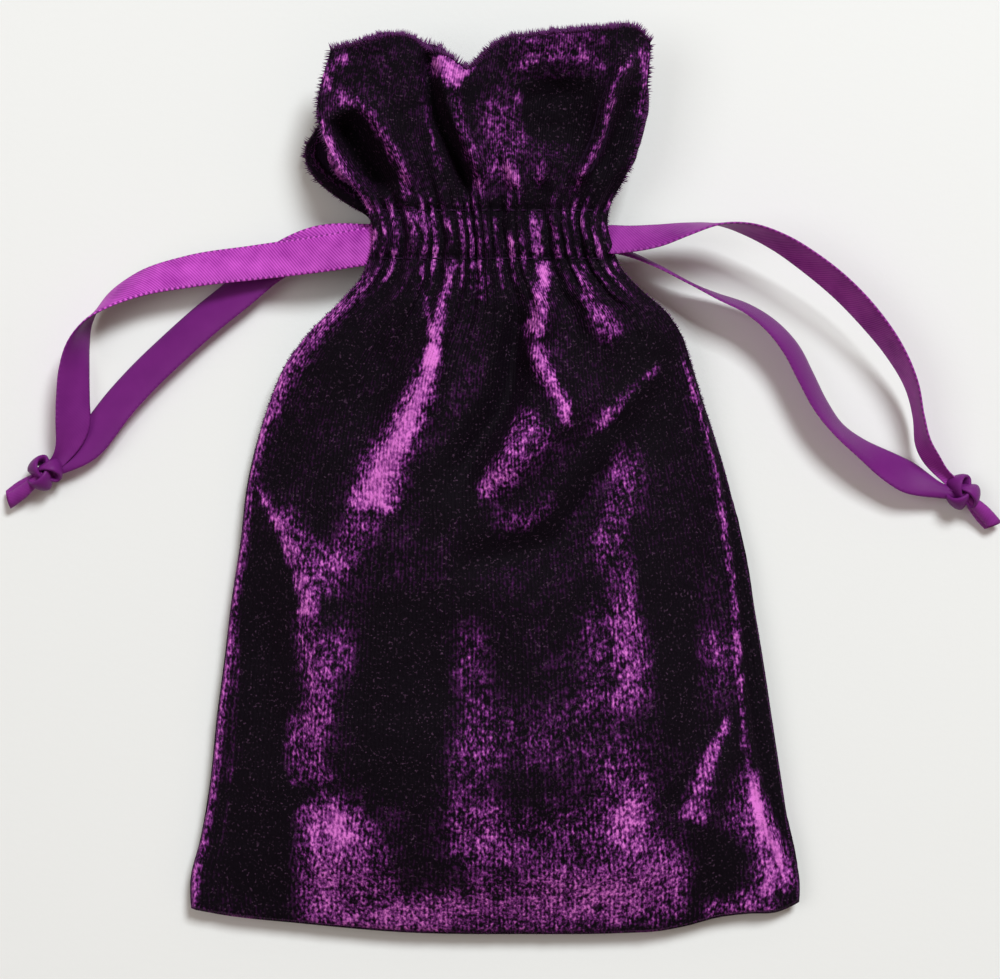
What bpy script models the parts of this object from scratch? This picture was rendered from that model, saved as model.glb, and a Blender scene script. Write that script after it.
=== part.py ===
"""Velvet drawstring pouch for dice, lying on its back.

Frame: +X to the pouch's right, +Y from the bottom seam to the mouth, +Z up from the table.
The origin is on the table under the middle of the fabric. Lengths are in metres.

The pouch is a front and a back panel, sewn together down both sides and along the bottom.
Above the panels, two gathered casings carry the drawstrings, and two ruffled headers form the
mouth. Each drawstring is one satin ribbon. It leaves both casings on its own side, where its
ends are knotted together, and it bends round the other side's seam inside the gathers.
"""

import math

import bmesh
import bpy
from mathutils import Matrix, Vector

MM = 0.001

# Driving dimensions of the fabric.
LENGTH = 151.6 * MM
BOTTOM_HALF_WIDTH = 51.0 * MM
NECK_HALF_WIDTH = 20.2 * MM
CASING_HEIGHT = 8.2 * MM
HEADER_HEIGHT = 29.9 * MM
FABRIC = 1.1 * MM
CASING_WALL = 0.8 * MM
HEADER_THICKNESS = 1.8 * MM
SEAM_FLANGE = 2.0 * MM
PLEATS = 8

# Heights above the table.
BODY_TOP = 17.0 * MM
SEAM_HEIGHT = 3.0 * MM
NECK_TOP = 13.7 * MM
NECK_BOTTOM = 1.4 * MM
CHANNEL_DEPTH = 3.5 * MM
BOTTOM_EDGE_RISE = 5.0 * MM

# Ribbon and thread.
RIBBON_WIDTH = 6.35 * MM
RIBBON_THICKNESS = 0.6 * MM
FOLDED_WIDTH = 2.4 * MM
FOLDED_THICKNESS = 0.8 * MM
THREAD = 0.5 * MM
KNOT_SIZE = (5.6 * MM, 4.7 * MM, 4.4 * MM)
TAIL_LENGTH = 6.4 * MM
TAIL_WIDTH = 2.9 * MM

GAP = 0.3 * MM

# Places that follow from the driving dimensions.
BOTTOM_Y = -LENGTH / 2
HEADER_Y = LENGTH / 2 - HEADER_HEIGHT
CASING_TOP_Y = HEADER_Y - GAP
CASING_Y = CASING_TOP_Y - CASING_HEIGHT
PANEL_TOP_Y = CASING_Y - GAP
CASING_MIDDLE_Y = (CASING_Y + CASING_TOP_Y) / 2
NECK_MIDDLE_Z = (NECK_TOP + NECK_BOTTOM) / 2
FRONT_CHANNEL_Z = NECK_TOP - CHANNEL_DEPTH / 2
BACK_CHANNEL_Z = NECK_BOTTOM + CHANNEL_DEPTH / 2
LOWER_LANE_Y = CASING_MIDDLE_Y - (FOLDED_WIDTH + GAP) / 2
UPPER_LANE_Y = CASING_MIDDLE_Y + (FOLDED_WIDTH + GAP) / 2
MOUTH_X = NECK_HALF_WIDTH + 1.2 * MM

# Half-width of the pouch at heights along it: straight sides, then a shoulder into the neck.
SILHOUETTE = [
    (BOTTOM_Y, 50.6 * MM),
    (-69 * MM, BOTTOM_HALF_WIDTH),
    (-40 * MM, 46.5 * MM),
    (-10 * MM, 41.9 * MM),
    (8 * MM, 38.2 * MM),
    (21 * MM, 33.2 * MM),
    (29 * MM, 27.8 * MM),
    (PANEL_TOP_Y, NECK_HALF_WIDTH),
]

# The ruffle's left and right edges as shares of its height, x and x, and its top edge as shares
# of its width and y, in millimetres.
FRONT_RUFFLE_SIDES = [(0.0, -21.4, 19.8), (0.28, -27.4, 22.8), (0.58, -29.6, 24.8), (1.0, -27.8, 25.6)]
BACK_RUFFLE_SIDES = [(0.0, -21.4, 19.8), (0.26, -31.6, 23.0), (0.5, -29.4, 24.4), (1.0, -25.2, 24.6)]
FRONT_RUFFLE_TOP = [(-1.0, 72.7), (-0.66, 74.7), (-0.37, 72.6), (-0.16, 69.9), (0.02, 72.9), (0.24, 74.9),
                    (0.7, 75.8), (1.0, 74.7)]
BACK_RUFFLE_TOP = [(-1.0, 68.5), (-0.6, 72.0), (-0.2, 72.8), (0.2, 73.0), (0.6, 73.6), (1.0, 71.0)]

# Each free strand as x, y, z and turn, in millimetres and degrees, from its casing to its knot.
# Turn 0 lies flat, and turn 90 stands on edge.
LEFT_FRONT_ROUTE = [
    (-22.8, 39.9, 11.95, 0), (-28.6, 38.0, 9.8, 12), (-39.7, 36.1, 5.9, 20), (-51.0, 34.9, 4.4, 28),
    (-59.4, 32.8, 4.1, 46), (-64.8, 29.7, 4.1, 68), (-67.9, 26.4, 4.2, 94), (-69.6, 22.7, 4.3, 118),
    (-70.3, 18.4, 4.4, 134), (-70.5, 13.4, 4.4, 142), (-70.6, 8.9, 4.3, 150), (-72.2, 5.0, 4.0, 160),
]
LEFT_BACK_ROUTE = [
    (-22.8, 39.9, 3.15, 0), (-30.1, 39.6, 3.0, 12), (-37.4, 36.2, 2.5, 20), (-42.9, 31.7, 2.2, 24),
    (-49.2, 26.6, 2.1, 24), (-54.1, 22.2, 2.1, 24), (-59.3, 17.2, 2.1, 24), (-63.3, 12.9, 2.1, 24),
    (-66.7, 8.3, 2.1, 22), (-69.9, 4.3, 2.0, 20),
]
RIGHT_FRONT_ROUTE = [
    (22.8, 42.9, 11.95, 0), (26.7, 41.3, 11.6, -50), (31.7, 41.6, 11.0, -66), (37.0, 42.4, 10.4, -86),
    (41.7, 41.6, 9.9, -103), (46.8, 39.4, 9.4, -113), (52.0, 36.1, 9.0, -119), (57.4, 31.8, 8.4, -121),
    (62.1, 26.9, 7.7, -119), (66.2, 21.6, 7.0, -112), (69.0, 16.2, 6.2, -103), (70.5, 10.7, 5.4, -98),
    (71.6, 6.1, 4.8, -108), (74.2, 2.2, 3.9, -132),
]
RIGHT_BACK_ROUTE = [
    (22.8, 42.9, 3.15, 0), (26.5, 38.2, 3.8, -72), (31.9, 33.6, 4.3, -84), (36.8, 30.9, 4.4, -78),
    (42.2, 28.5, 4.4, -70), (46.2, 25.7, 4.3, -63), (49.4, 22.0, 4.2, -58), (51.8, 17.4, 4.1, -58),
    (54.3, 12.7, 4.1, -60), (57.3, 8.7, 4.0, -64), (60.9, 5.7, 3.7, -58), (65.7, 2.6, 3.1, -38),
    (71.9, -0.8, 2.5, -18),
]
LEFT_KNOT = Vector((-75.5 * MM, 1.7 * MM, 2.5 * MM))
RIGHT_KNOT = Vector((78.1 * MM, -1.9 * MM, 2.5 * MM))
LEFT_TAIL_HEADING = math.radians(219)
RIGHT_TAIL_HEADING = math.radians(-46)

VELVET = ("dark_velvet", (0.055, 0.012, 0.075, 1.0), 0.6)
SATIN = ("satin_ribbon", (0.33, 0.035, 0.42, 1.0), 0.35)
SEWING = ("sewing_thread", (0.10, 0.02, 0.14, 1.0), 0.7)


def clear_scene():
    for obj in list(bpy.data.objects):
        bpy.data.objects.remove(obj, do_unlink=True)


def make_collection(name):
    collection = bpy.data.collections.new(name)
    bpy.context.scene.collection.children.link(collection)
    return collection


def material(finish):
    name, colour, roughness = finish
    found = bpy.data.materials.get(name)
    if found:
        return found
    made = bpy.data.materials.new(name)
    made.use_nodes = True
    shader = made.node_tree.nodes["Principled BSDF"]
    shader.inputs["Base Color"].default_value = colour
    shader.inputs["Roughness"].default_value = roughness
    shader.inputs["Metallic"].default_value = 0.0
    return made


def between(points, t):
    """Smooth curve through rows of numbers whose first number is the parameter."""
    last = len(points) - 1
    i = 0
    while i < last - 1 and t > points[i + 1][0]:
        i += 1
    start, end = points[i], points[i + 1]
    before, after = points[max(i - 1, 0)], points[min(i + 2, last)]
    span = end[0] - start[0]
    s = min(max((t - start[0]) / span, 0.0), 1.0)
    values = []
    for k in range(1, len(start)):
        leave = (end[k] - before[k]) / (end[0] - before[0]) * span
        arrive = (after[k] - start[k]) / (after[0] - start[0]) * span
        values.append(
            (2 * s**3 - 3 * s**2 + 1) * start[k]
            + (s**3 - 2 * s**2 + s) * leave
            + (3 * s**2 - 2 * s**3) * end[k]
            + (s**3 - s**2) * arrive
        )
    return values


def half_width(y):
    return between(SILHOUETTE, y)[0]


def smooth_step(t):
    t = min(max(t, 0.0), 1.0)
    return t * t * (3 - 2 * t)


def finish_object(obj, collection, finish):
    for user in list(obj.users_collection):
        user.objects.unlink(obj)
    collection.objects.link(obj)
    obj.data.materials.clear()
    obj.data.materials.append(material(finish))
    return obj


def sheet(name, columns, rows, point_at, thickness, finish, collection):
    """A grid bent to point_at(u, v), u from -1 to 1 and v from 0 to 1, with the cloth behind it."""
    mesh = bpy.data.meshes.new(name)
    obj = bpy.data.objects.new(name, mesh)
    grid = bmesh.new()
    bmesh.ops.create_grid(grid, x_segments=columns, y_segments=rows, size=1.0)
    for vertex in grid.verts:
        vertex.co = point_at(vertex.co.x, (vertex.co.y + 1) / 2)
    bmesh.ops.remove_doubles(grid, verts=grid.verts, dist=1e-6)
    grid.to_mesh(mesh)
    grid.free()
    mesh.shade_smooth()
    solidify = obj.modifiers.new("fabric", "SOLIDIFY")
    solidify.thickness = thickness
    solidify.offset = -1
    return finish_object(obj, collection, finish)


def panel_outline(u, v):
    """x and y on a panel; the bottom edge bows down between its corners."""
    bottom = BOTTOM_Y + BOTTOM_EDGE_RISE * abs(u) ** 3
    y = bottom + v * (PANEL_TOP_Y - bottom)
    return u * half_width(y), y


def towards_edges(u, v):
    """Crowd the grid towards the sewn edges."""
    return math.copysign(1 - (1 - abs(u)) ** 1.5, u), v**1.4


def seam_height(y):
    """The side seam climbs from near the table to the middle of the neck."""
    return SEAM_HEIGHT + (NECK_MIDDLE_Z - SEAM_HEIGHT) * smooth_step((y - 5 * MM) / (PANEL_TOP_Y - 5 * MM))


def crown(u, v, fullness):
    """0 on the seam flange, 1 over the middle of a panel, steeper for more fullness."""
    x, y = panel_outline(u, v)
    inside = half_width(y) - SEAM_FLANGE
    across = min(max((inside - abs(x)) / inside, 0.0), 1.0)
    along = min(max((y - BOTTOM_Y - BOTTOM_EDGE_RISE * abs(u) ** 3 - SEAM_FLANGE) / (34 * MM), 0.0), 1.0)
    return (1 - (1 - across) ** fullness) * (1 - (1 - along) ** 2.2)


def neckness(y, start):
    return smooth_step((y - start) / (PANEL_TOP_Y - start))


def pleat(u, depth):
    return depth * math.cos(math.pi * PLEATS * u)


def front_panel_point(u, v):
    u, v = towards_edges(u, v)
    x, y = panel_outline(u, v)
    shape = crown(u, v, 2.2 + 4 * neckness(y, 10 * MM))
    top = BODY_TOP + (NECK_TOP - BODY_TOP) * neckness(y, -20 * MM)
    edge = seam_height(y) + GAP / 2 + FABRIC
    gathers = pleat(u, 0.5 * MM) * neckness(y, 5 * MM) * shape
    return Vector((x, y, edge + (top - edge) * shape + gathers))


def back_panel_point(u, v):
    u, v = towards_edges(u, v)
    x, y = panel_outline(-u, v)
    shape = min(crown(u, v, 3.0 + 4 * neckness(y, 10 * MM)) * 2.2, 1.0)
    lowest = NECK_BOTTOM * neckness(y, 10 * MM)
    edge = seam_height(y) - GAP / 2 - FABRIC
    return Vector((x, y, edge + (lowest - edge) * smooth_step(shape)))


def make_panels(collection):
    sheet("front_panel", 28, 24, front_panel_point, FABRIC, VELVET, collection)
    sheet("back_panel", 28, 24, back_panel_point, FABRIC, VELVET, collection)


def casing_point(low, high, outer_side):
    """A flat tube along X with its outer wall in pleats."""

    def point_at(u, v):
        angle = -2 * math.pi * v
        across, up = math.cos(angle), math.sin(angle)
        square = 0.3
        y = CASING_MIDDLE_Y + CASING_HEIGHT / 2 * math.copysign(abs(across) ** square, across)
        height = math.copysign(abs(up) ** square, up)
        gathers = pleat(u, 0.4 * MM) * max(outer_side * height, 0.0)
        z = (low + high) / 2 + (high - low) / 2 * height + outer_side * gathers
        return Vector((u * NECK_HALF_WIDTH, y, z))

    return point_at


def make_casings(collection):
    front = casing_point(NECK_TOP - CHANNEL_DEPTH, NECK_TOP, 1)
    back = casing_point(NECK_BOTTOM, NECK_BOTTOM + CHANNEL_DEPTH, -1)
    sheet("front_casing", 32, 20, front, CASING_WALL, VELVET, collection)
    sheet("back_casing", 32, 20, back, CASING_WALL, VELVET, collection)


def ruffle_outline(u, v, sides, top):
    """x and y on a header, u from -1 at its left edge to 1 at its right, v from 0 to 1."""
    left, right = between(sides, v)
    edge = between(top, u)[0] * MM
    start = HEADER_Y + GAP / 2
    return ((left + right) / 2 + u * (right - left) / 2) * MM, start + v * (edge - start)


def front_header_point(u, v):
    x, y = ruffle_outline(u, v, FRONT_RUFFLE_SIDES, FRONT_RUFFLE_TOP)
    folds = (0.4 + 1.9 * v) * MM * math.cos(2.5 * math.pi * (u + 0.16))
    return Vector((x, y, NECK_TOP - 0.2 * MM + 3.6 * MM * v**1.3 - folds))


def back_header_point(u, v):
    x, y = ruffle_outline(-u, v, BACK_RUFFLE_SIDES, BACK_RUFFLE_TOP)
    folds = (0.2 + 0.4 * v) * MM * math.cos(2.5 * math.pi * u)
    return Vector((x, y, NECK_BOTTOM + folds))


def make_headers(collection):
    sheet("front_header", 30, 9, front_header_point, HEADER_THICKNESS, VELVET, collection)
    sheet("back_header", 30, 9, back_header_point, HEADER_THICKNESS, VELVET, collection)


def tube_curve(name, points, diameter, finish, collection):
    """A round thread through the given points."""
    curve = bpy.data.curves.new(name, "CURVE")
    curve.dimensions = "3D"
    curve.bevel_depth = diameter / 2
    curve.bevel_resolution = 1
    curve.use_fill_caps = True
    spline = curve.splines.new("POLY")
    spline.points.add(len(points) - 1)
    for place, point in zip(spline.points, points):
        place.co = (*point, 1.0)
    return finish_object(bpy.data.objects.new(name, curve), collection, finish)


def make_side_stitching(collection):
    """One thread inside each side seam and one inside the bottom seam."""
    inset = SEAM_FLANGE + 4.4 * MM
    lift = 0.15 * MM
    steps = 24
    for name, side in (("left_side_stitching", -1), ("right_side_stitching", 1)):
        points = []
        for i in range(steps + 1):
            y = -65 * MM + i / steps * (PANEL_TOP_Y + 64 * MM)
            points.append(Vector((side * (half_width(y) - inset), y, seam_height(y) + lift)))
        tube_curve(name, points, THREAD, SEWING, collection)
    points = []
    for i in range(steps + 1):
        u = -0.9 + 1.8 * i / steps
        x, y = panel_outline(u, 0)
        points.append(Vector((x, y + inset, seam_height(y) + lift)))
    tube_curve("bottom_stitching", points, THREAD, SEWING, collection)


def make_casing_stitching(collection):
    """The two rows of thread that close each casing, lying on its outer face."""
    steps = 32
    for face, side, level in (("front", 1, NECK_TOP), ("back", -1, NECK_BOTTOM)):
        for row, y in (("lower", CASING_Y + 1.3 * MM), ("upper", CASING_TOP_Y - 1.3 * MM)):
            points = []
            for i in range(steps + 1):
                u = -0.96 + 1.92 * i / steps
                ripple = pleat(u, 0.4 * MM)
                z = level + side * (THREAD / 2 + GAP + ripple)
                points.append(Vector((u * NECK_HALF_WIDTH, y, z)))
            tube_curve(f"{face}_casing_{row}_stitching", points, THREAD, SEWING, collection)


def ribbon_curve(name, points, turns, sizes, width, thickness, collection):
    """A flat strip along the points: turns in radians, and sizes as shares of the full width."""
    curve = bpy.data.curves.new(name, "CURVE")
    curve.dimensions = "3D"
    curve.twist_mode = "Z_UP"
    curve.extrude = (width - thickness) / 2
    curve.bevel_depth = thickness / 2
    curve.bevel_resolution = 1
    curve.use_fill_caps = True
    spline = curve.splines.new("POLY")
    spline.points.add(len(points) - 1)
    for place, point, turn, size in zip(spline.points, points, turns, sizes):
        place.co = (*point, 1.0)
        place.tilt = math.pi / 2 + turn
        place.radius = size
    return finish_object(bpy.data.objects.new(name, curve), collection, SATIN)


def make_runs(side_name, side, lane_y, collection):
    """The hidden part of one ribbon: a folded run in each casing and the bend that joins them."""
    far = -side * NECK_HALF_WIDTH
    near = side * MOUTH_X
    for face, z in (("front", FRONT_CHANNEL_Z), ("back", BACK_CHANNEL_Z)):
        ends = [Vector((near, lane_y, z)), Vector((far, lane_y, z))]
        name = f"{side_name}_ribbon_{face}_run"
        ribbon_curve(name, ends, (0, 0), (1, 1), FOLDED_WIDTH, FOLDED_THICKNESS, collection)

    def bend_point(u, v):
        angle = math.pi * (u + 1) / 2
        reach = -side * (0.75 + 1.4 * math.sin(angle)) * MM
        z = NECK_MIDDLE_Z - side * (FRONT_CHANNEL_Z - NECK_MIDDLE_Z) * math.cos(angle)
        return Vector((far + reach, lane_y + (v - 0.5) * FOLDED_WIDTH, z))

    sheet(f"{side_name}_ribbon_bend", 12, 1, bend_point, FOLDED_THICKNESS, SATIN, collection)


def route_samples(route, step):
    """Points and turns about step apart on the smooth curve through a route, in metres and radians."""
    travelled = [0.0]
    for a, b in zip(route, route[1:]):
        travelled.append(travelled[-1] + math.dist(a[:3], b[:3]))
    rows = [(t, *place) for t, place in zip(travelled, route)]
    count = math.ceil(travelled[-1] / step)
    points, turns = [], []
    for i in range(count + 1):
        x, y, z, turn = between(rows, travelled[-1] * i / count)
        points.append(Vector((x, y, z)) * MM)
        turns.append(math.radians(turn))
    return points, turns


def make_strand(name, route, collection):
    """A free strand: it opens out of the casing and bunches again into its knot."""
    points, turns = route_samples(route, 3.0)
    last = len(points) - 1
    sizes = []
    for i in range(last + 1):
        opening = 0.4 + 0.6 * smooth_step(i / 2.5)
        bunching = 0.36 + 0.64 * smooth_step((last - i) / 4)
        sizes.append(min(opening, bunching))
    ribbon_curve(name, points, turns, sizes, RIBBON_WIDTH, RIBBON_THICKNESS, collection)


def make_knot(name, centre, heading, collection):
    """A tight overhand knot: a rounded lump with two wraps round it."""
    mesh = bpy.data.meshes.new(name)
    obj = bpy.data.objects.new(name, mesh)
    ball = bmesh.new()
    bmesh.ops.create_uvsphere(ball, u_segments=20, v_segments=12, radius=0.5)
    for vertex in ball.verts:
        around = math.atan2(vertex.co.z, vertex.co.y)
        wrap = 1 + 0.06 * math.cos(2 * around + 14 * vertex.co.x)
        vertex.co = Vector((vertex.co.x, vertex.co.y * wrap, vertex.co.z * wrap))
        vertex.co = Vector(a * b for a, b in zip(vertex.co, KNOT_SIZE))
    ball.to_mesh(mesh)
    ball.free()
    mesh.shade_smooth()
    obj.matrix_world = Matrix.Translation(centre) @ Matrix.Rotation(heading, 4, "Z")
    return finish_object(obj, collection, SATIN)


def make_tails(side_name, centre, heading, collection):
    """The ribbon's two cut ends beyond the knot, one above the other."""
    for face, lift, spread in (("front", 0.6 * MM, 0.12), ("back", -0.5 * MM, -0.12)):
        along = Vector((math.cos(heading + spread), math.sin(heading + spread), 0))
        start = centre + along * (KNOT_SIZE[0] / 2 + GAP) + Vector((0, 0, lift))
        end = start + along * TAIL_LENGTH - Vector((0, 0, 0.9 * MM))
        name = f"{side_name}_tail_{face}"
        ribbon_curve(name, [start, end], (0, 0), (1, 1), TAIL_WIDTH, RIBBON_THICKNESS, collection)


def make_drawstrings(collection):
    sides = (
        ("left", -1, LOWER_LANE_Y, LEFT_KNOT, LEFT_TAIL_HEADING, LEFT_FRONT_ROUTE, LEFT_BACK_ROUTE),
        ("right", 1, UPPER_LANE_Y, RIGHT_KNOT, RIGHT_TAIL_HEADING, RIGHT_FRONT_ROUTE, RIGHT_BACK_ROUTE),
    )
    for name, side, lane_y, knot, heading, front, back in sides:
        make_runs(name, side, lane_y, collection)
        make_strand(f"{name}_ribbon_front_strand", front, collection)
        make_strand(f"{name}_ribbon_back_strand", back, collection)
        make_knot(f"{name}_knot", knot, heading, collection)
        make_tails(name, knot, heading, collection)


def main():
    clear_scene()
    pouch = make_collection("drawstring_pouch")
    make_panels(pouch)
    make_casings(pouch)
    make_headers(pouch)
    make_side_stitching(pouch)
    make_casing_stitching(pouch)
    make_drawstrings(pouch)


main()
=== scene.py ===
"""Velvet drawstring pouch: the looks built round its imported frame.

Lengths in the tables are millimetres. A table's x and y are what the eye straight above reads
against the table top, and sight_line turns them into places at their real height.
"""

import logging  # noqa: E402
import math  # noqa: E402
from dataclasses import dataclass, field  # noqa: E402
from enum import Enum  # noqa: E402

import bpy  # noqa: E402
import numpy as np  # noqa: E402
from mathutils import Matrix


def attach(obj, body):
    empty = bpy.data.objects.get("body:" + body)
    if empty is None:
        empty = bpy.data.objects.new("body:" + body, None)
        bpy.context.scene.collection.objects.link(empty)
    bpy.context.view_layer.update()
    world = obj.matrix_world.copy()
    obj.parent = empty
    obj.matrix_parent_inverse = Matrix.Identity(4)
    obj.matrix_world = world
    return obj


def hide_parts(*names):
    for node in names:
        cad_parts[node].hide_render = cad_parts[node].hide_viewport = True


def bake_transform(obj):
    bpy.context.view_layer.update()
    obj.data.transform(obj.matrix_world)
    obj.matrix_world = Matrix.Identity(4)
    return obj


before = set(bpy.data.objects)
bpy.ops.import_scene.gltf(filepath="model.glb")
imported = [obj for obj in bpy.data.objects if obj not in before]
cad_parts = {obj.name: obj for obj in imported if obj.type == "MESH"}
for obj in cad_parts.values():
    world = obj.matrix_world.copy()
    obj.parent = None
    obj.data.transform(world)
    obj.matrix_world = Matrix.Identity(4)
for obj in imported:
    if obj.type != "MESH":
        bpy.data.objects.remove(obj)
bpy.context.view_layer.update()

LOG = logging.getLogger("pouch")
MM = 0.001
EYE = np.array([0.8, -1.3, 450.0])
FIELD_WIDTH = 168.35

Array = np.ndarray
Points = tuple[tuple[float, ...], ...]
Place = tuple[float, float, float]
Colour = tuple[float, float, float]


class Slot(str, Enum):
    """The record's material slots."""

    VELVET = "dark_velvet"
    SATIN = "satin_ribbon"
    THREAD = "sewing_thread"


# ---------------------------------------------------------------- numbers on curves


def smooth(t: Array) -> Array:
    """Ease from 0 to 1: 3t^2 - 2t^3, held at its ends.

    Args:
        t: Values, of which 0 to 1 are eased.

    Returns:
        The eased values.
    """
    t = np.clip(t, 0.0, 1.0)
    return t * t * (3 - 2 * t)


def through(knots: Array, values: Array, t: Array) -> Array:
    """A smooth curve through values at knots: cubic Hermite pieces with central slopes.

    Args:
        knots: Rising parameters, one for each value.
        values: Numbers, or rows of numbers.
        t: Where to read the curve; it is held beyond its ends.

    Returns:
        The curve's values at t, with the rows' own length as the last axis if values are rows.
    """
    knots = np.asarray(knots, float)
    values = np.asarray(values, float)
    slopes = np.gradient(values, knots, axis=0)
    t = np.clip(np.asarray(t, float), knots[0], knots[-1])
    i = np.clip(np.searchsorted(knots, t, side="right") - 1, 0, len(knots) - 2)
    span = knots[i + 1] - knots[i]
    s = (t - knots[i]) / span
    if values.ndim > 1:
        s, span = s[..., None], span[..., None]
    return (
        (2 * s**3 - 3 * s**2 + 1) * values[i]
        + (s**3 - 2 * s**2 + s) * span * slopes[i]
        + (3 * s**2 - 2 * s**3) * values[i + 1]
        + (s**3 - s**2) * span * slopes[i + 1]
    )


def table(rows: Points, t: Array) -> Array:
    """Read a table of (parameter, value) rows as a smooth curve.

    Args:
        rows: The table.
        t: Parameters to read it at.

    Returns:
        The values there.
    """
    data = np.array(rows, float)
    return through(data[:, 0], data[:, 1], t)


def sight_line(points: Array) -> Array:
    """Slide points along the line to the eye: xy = eye + (xy - eye) * (1 - z / eye height).

    Args:
        points: Rows of x, y as read on the table top, and real z.

    Returns:
        Their places in space.
    """
    out = np.array(points, float)
    share = 1 - out[..., 2:3] / EYE[2]
    out[..., :2] = EYE[:2] + (out[..., :2] - EYE[:2]) * share
    return out


def unit(vectors: Array) -> Array:
    """Rows of vectors made one long."""
    return vectors / np.maximum(np.linalg.norm(vectors, axis=-1, keepdims=True), 1e-12)


def waves(x: Array, y: Array, size: float, seed: int, layers: int = 4) -> Array:
    """Soft uneven ground: a sum of sine ripples in turned directions, each layer half as long.

    Args:
        x: Places across.
        y: Places along.
        size: Length of the longest ripple.
        seed: Chooses the directions and phases.
        layers: How many lengths of ripple are added.

    Returns:
        Values of about -1 to 1.
    """
    rng = np.random.default_rng(seed)
    total = np.zeros_like(x)
    for layer in range(layers):
        for _ in range(4):
            turn, phase = rng.uniform(0, 2 * math.pi, 2)
            pitch = size / 2**layer * rng.uniform(0.8, 1.3)
            ripple = (x * math.cos(turn) + y * math.sin(turn)) * 2 * math.pi / pitch + phase
            total += np.sin(ripple) * 0.6**layer / 3.2
    return total


@dataclass(frozen=True)
class Stroke:
    """A soft raised or sunken mark along a line, or one of painted highlight or painted shade on the cloth.

    Attributes:
        line: x and y along it.
        height: What it adds on its line.
        width: Its half-width at the first and the last point.
        lean: The width on its right-hand side as a share of that on its left.
        taper: The share of its length over which each end fades.
    """

    line: Points
    height: float
    width: tuple[float, float]
    lean: float = 1.0
    taper: float = 0.25

    def at(self, x: Array, y: Array, power: float) -> Array:
        """height * exp(-(distance / width)^power) * fade, with the nearest of many short pieces.

        Args:
            x: Places across.
            y: Places along.
            power: 2 for a soft mark, and more for one with a clear edge.

        Returns:
            What the stroke adds at each place.
        """
        line = np.array(self.line, float)
        knots = np.concatenate([[0], np.cumsum(np.linalg.norm(np.diff(line, axis=0), axis=1))])
        steps = np.linspace(0, knots[-1], 33)
        nodes = through(knots, line, steps)
        start, run = nodes[:-1], np.diff(nodes, axis=0)
        flat = np.stack([x.ravel(), y.ravel()], axis=1)
        away = flat[:, None] - start[None]
        share = np.clip((away * run).sum(-1) / (run**2).sum(-1), 0, 1)
        rest = away - share[..., None] * run
        distance = np.linalg.norm(rest, axis=-1)
        best = distance.argmin(1)
        pick = np.arange(len(flat))
        place = (best + share[pick, best]) / len(run)
        side = run[best, 0] * rest[pick, best, 1] - run[best, 1] * rest[pick, best, 0]
        width = self.width[0] + (self.width[1] - self.width[0]) * place
        width = np.where(side < 0, width * self.lean, width)
        fade = smooth(np.minimum(place, 1 - place) / self.taper)
        mark = self.height * np.exp(-((distance[pick, best] / width) ** power)) * fade
        return mark.reshape(x.shape)


def strokes_at(strokes: tuple[Stroke, ...], x: Array, y: Array, power: float = 2.0) -> Array:
    """The sum of several strokes.

    Args:
        strokes: The strokes.
        x: Places across.
        y: Places along.
        power: How clear their edges are.

    Returns:
        What they add together.
    """
    total = np.zeros_like(x)
    for stroke in strokes:
        total += stroke.at(x, y, power)
    return total


# ---------------------------------------------------------------- meshes


def make_object(
    name: str, points: Array, faces: list[Array], material: bpy.types.Material, **marks: Array
) -> bpy.types.Object:
    """Put arrays into a new mesh object at the origin.

    Args:
        name: The object's name.
        points: One row of x, y, z in millimetres for each vertex.
        faces: Arrays of vertex indices, one row a face, each array with its own corner count.
        material: What it is made of.
        marks: Point attributes, one number for each vertex.

    Returns:
        The new object, linked to the scene and shaded smooth.
    """
    mesh = bpy.data.meshes.new(name)
    mesh.vertices.add(len(points))
    mesh.vertices.foreach_set("co", (np.asarray(points) * MM).astype(np.float32).ravel())
    corners = np.concatenate([f.ravel() for f in faces])
    counts = np.concatenate([np.full(len(f), f.shape[1]) for f in faces])
    mesh.loops.add(len(corners))
    mesh.loops.foreach_set("vertex_index", corners.astype(np.int32))
    mesh.polygons.add(len(counts))
    starts = np.concatenate([[0], np.cumsum(counts)[:-1]])
    mesh.polygons.foreach_set("loop_start", starts.astype(np.int32))
    mesh.polygons.foreach_set("use_smooth", np.ones(len(counts), bool))
    mesh.update(calc_edges=True)
    for key, values in marks.items():
        layer = mesh.attributes.new(key, "FLOAT", "POINT")
        layer.data.foreach_set("value", np.asarray(values, np.float32).ravel())
    mesh.materials.append(material)
    made = bpy.data.objects.new(name, mesh)
    bpy.context.scene.collection.objects.link(made)
    return made


def grid_faces(rows: int, columns: int, closed: bool = False, first: int = 0) -> Array:
    """Quads of a grid whose vertices run row by row.

    Args:
        rows: Rows of vertices.
        columns: Vertices in a row.
        closed: Whether the last column meets the first.
        first: Index of the grid's first vertex.

    Returns:
        One row of four indices for each quad.
    """
    j = np.arange(columns if closed else columns - 1)
    i = np.arange(rows - 1)[:, None]
    a, b = i * columns + j, i * columns + (j + 1) % columns
    quads = np.stack([a, b, b + columns, a + columns], axis=-1).reshape(-1, 4)
    return quads + first


def grid_normals(points: Array) -> Array:
    """Unit normals of a grid of points: the cross product of its two running slopes.

    Args:
        points: Rows by columns by three.

    Returns:
        The normals, along column direction x row direction.
    """
    return unit(np.cross(np.gradient(points, axis=1), np.gradient(points, axis=0)))


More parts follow.
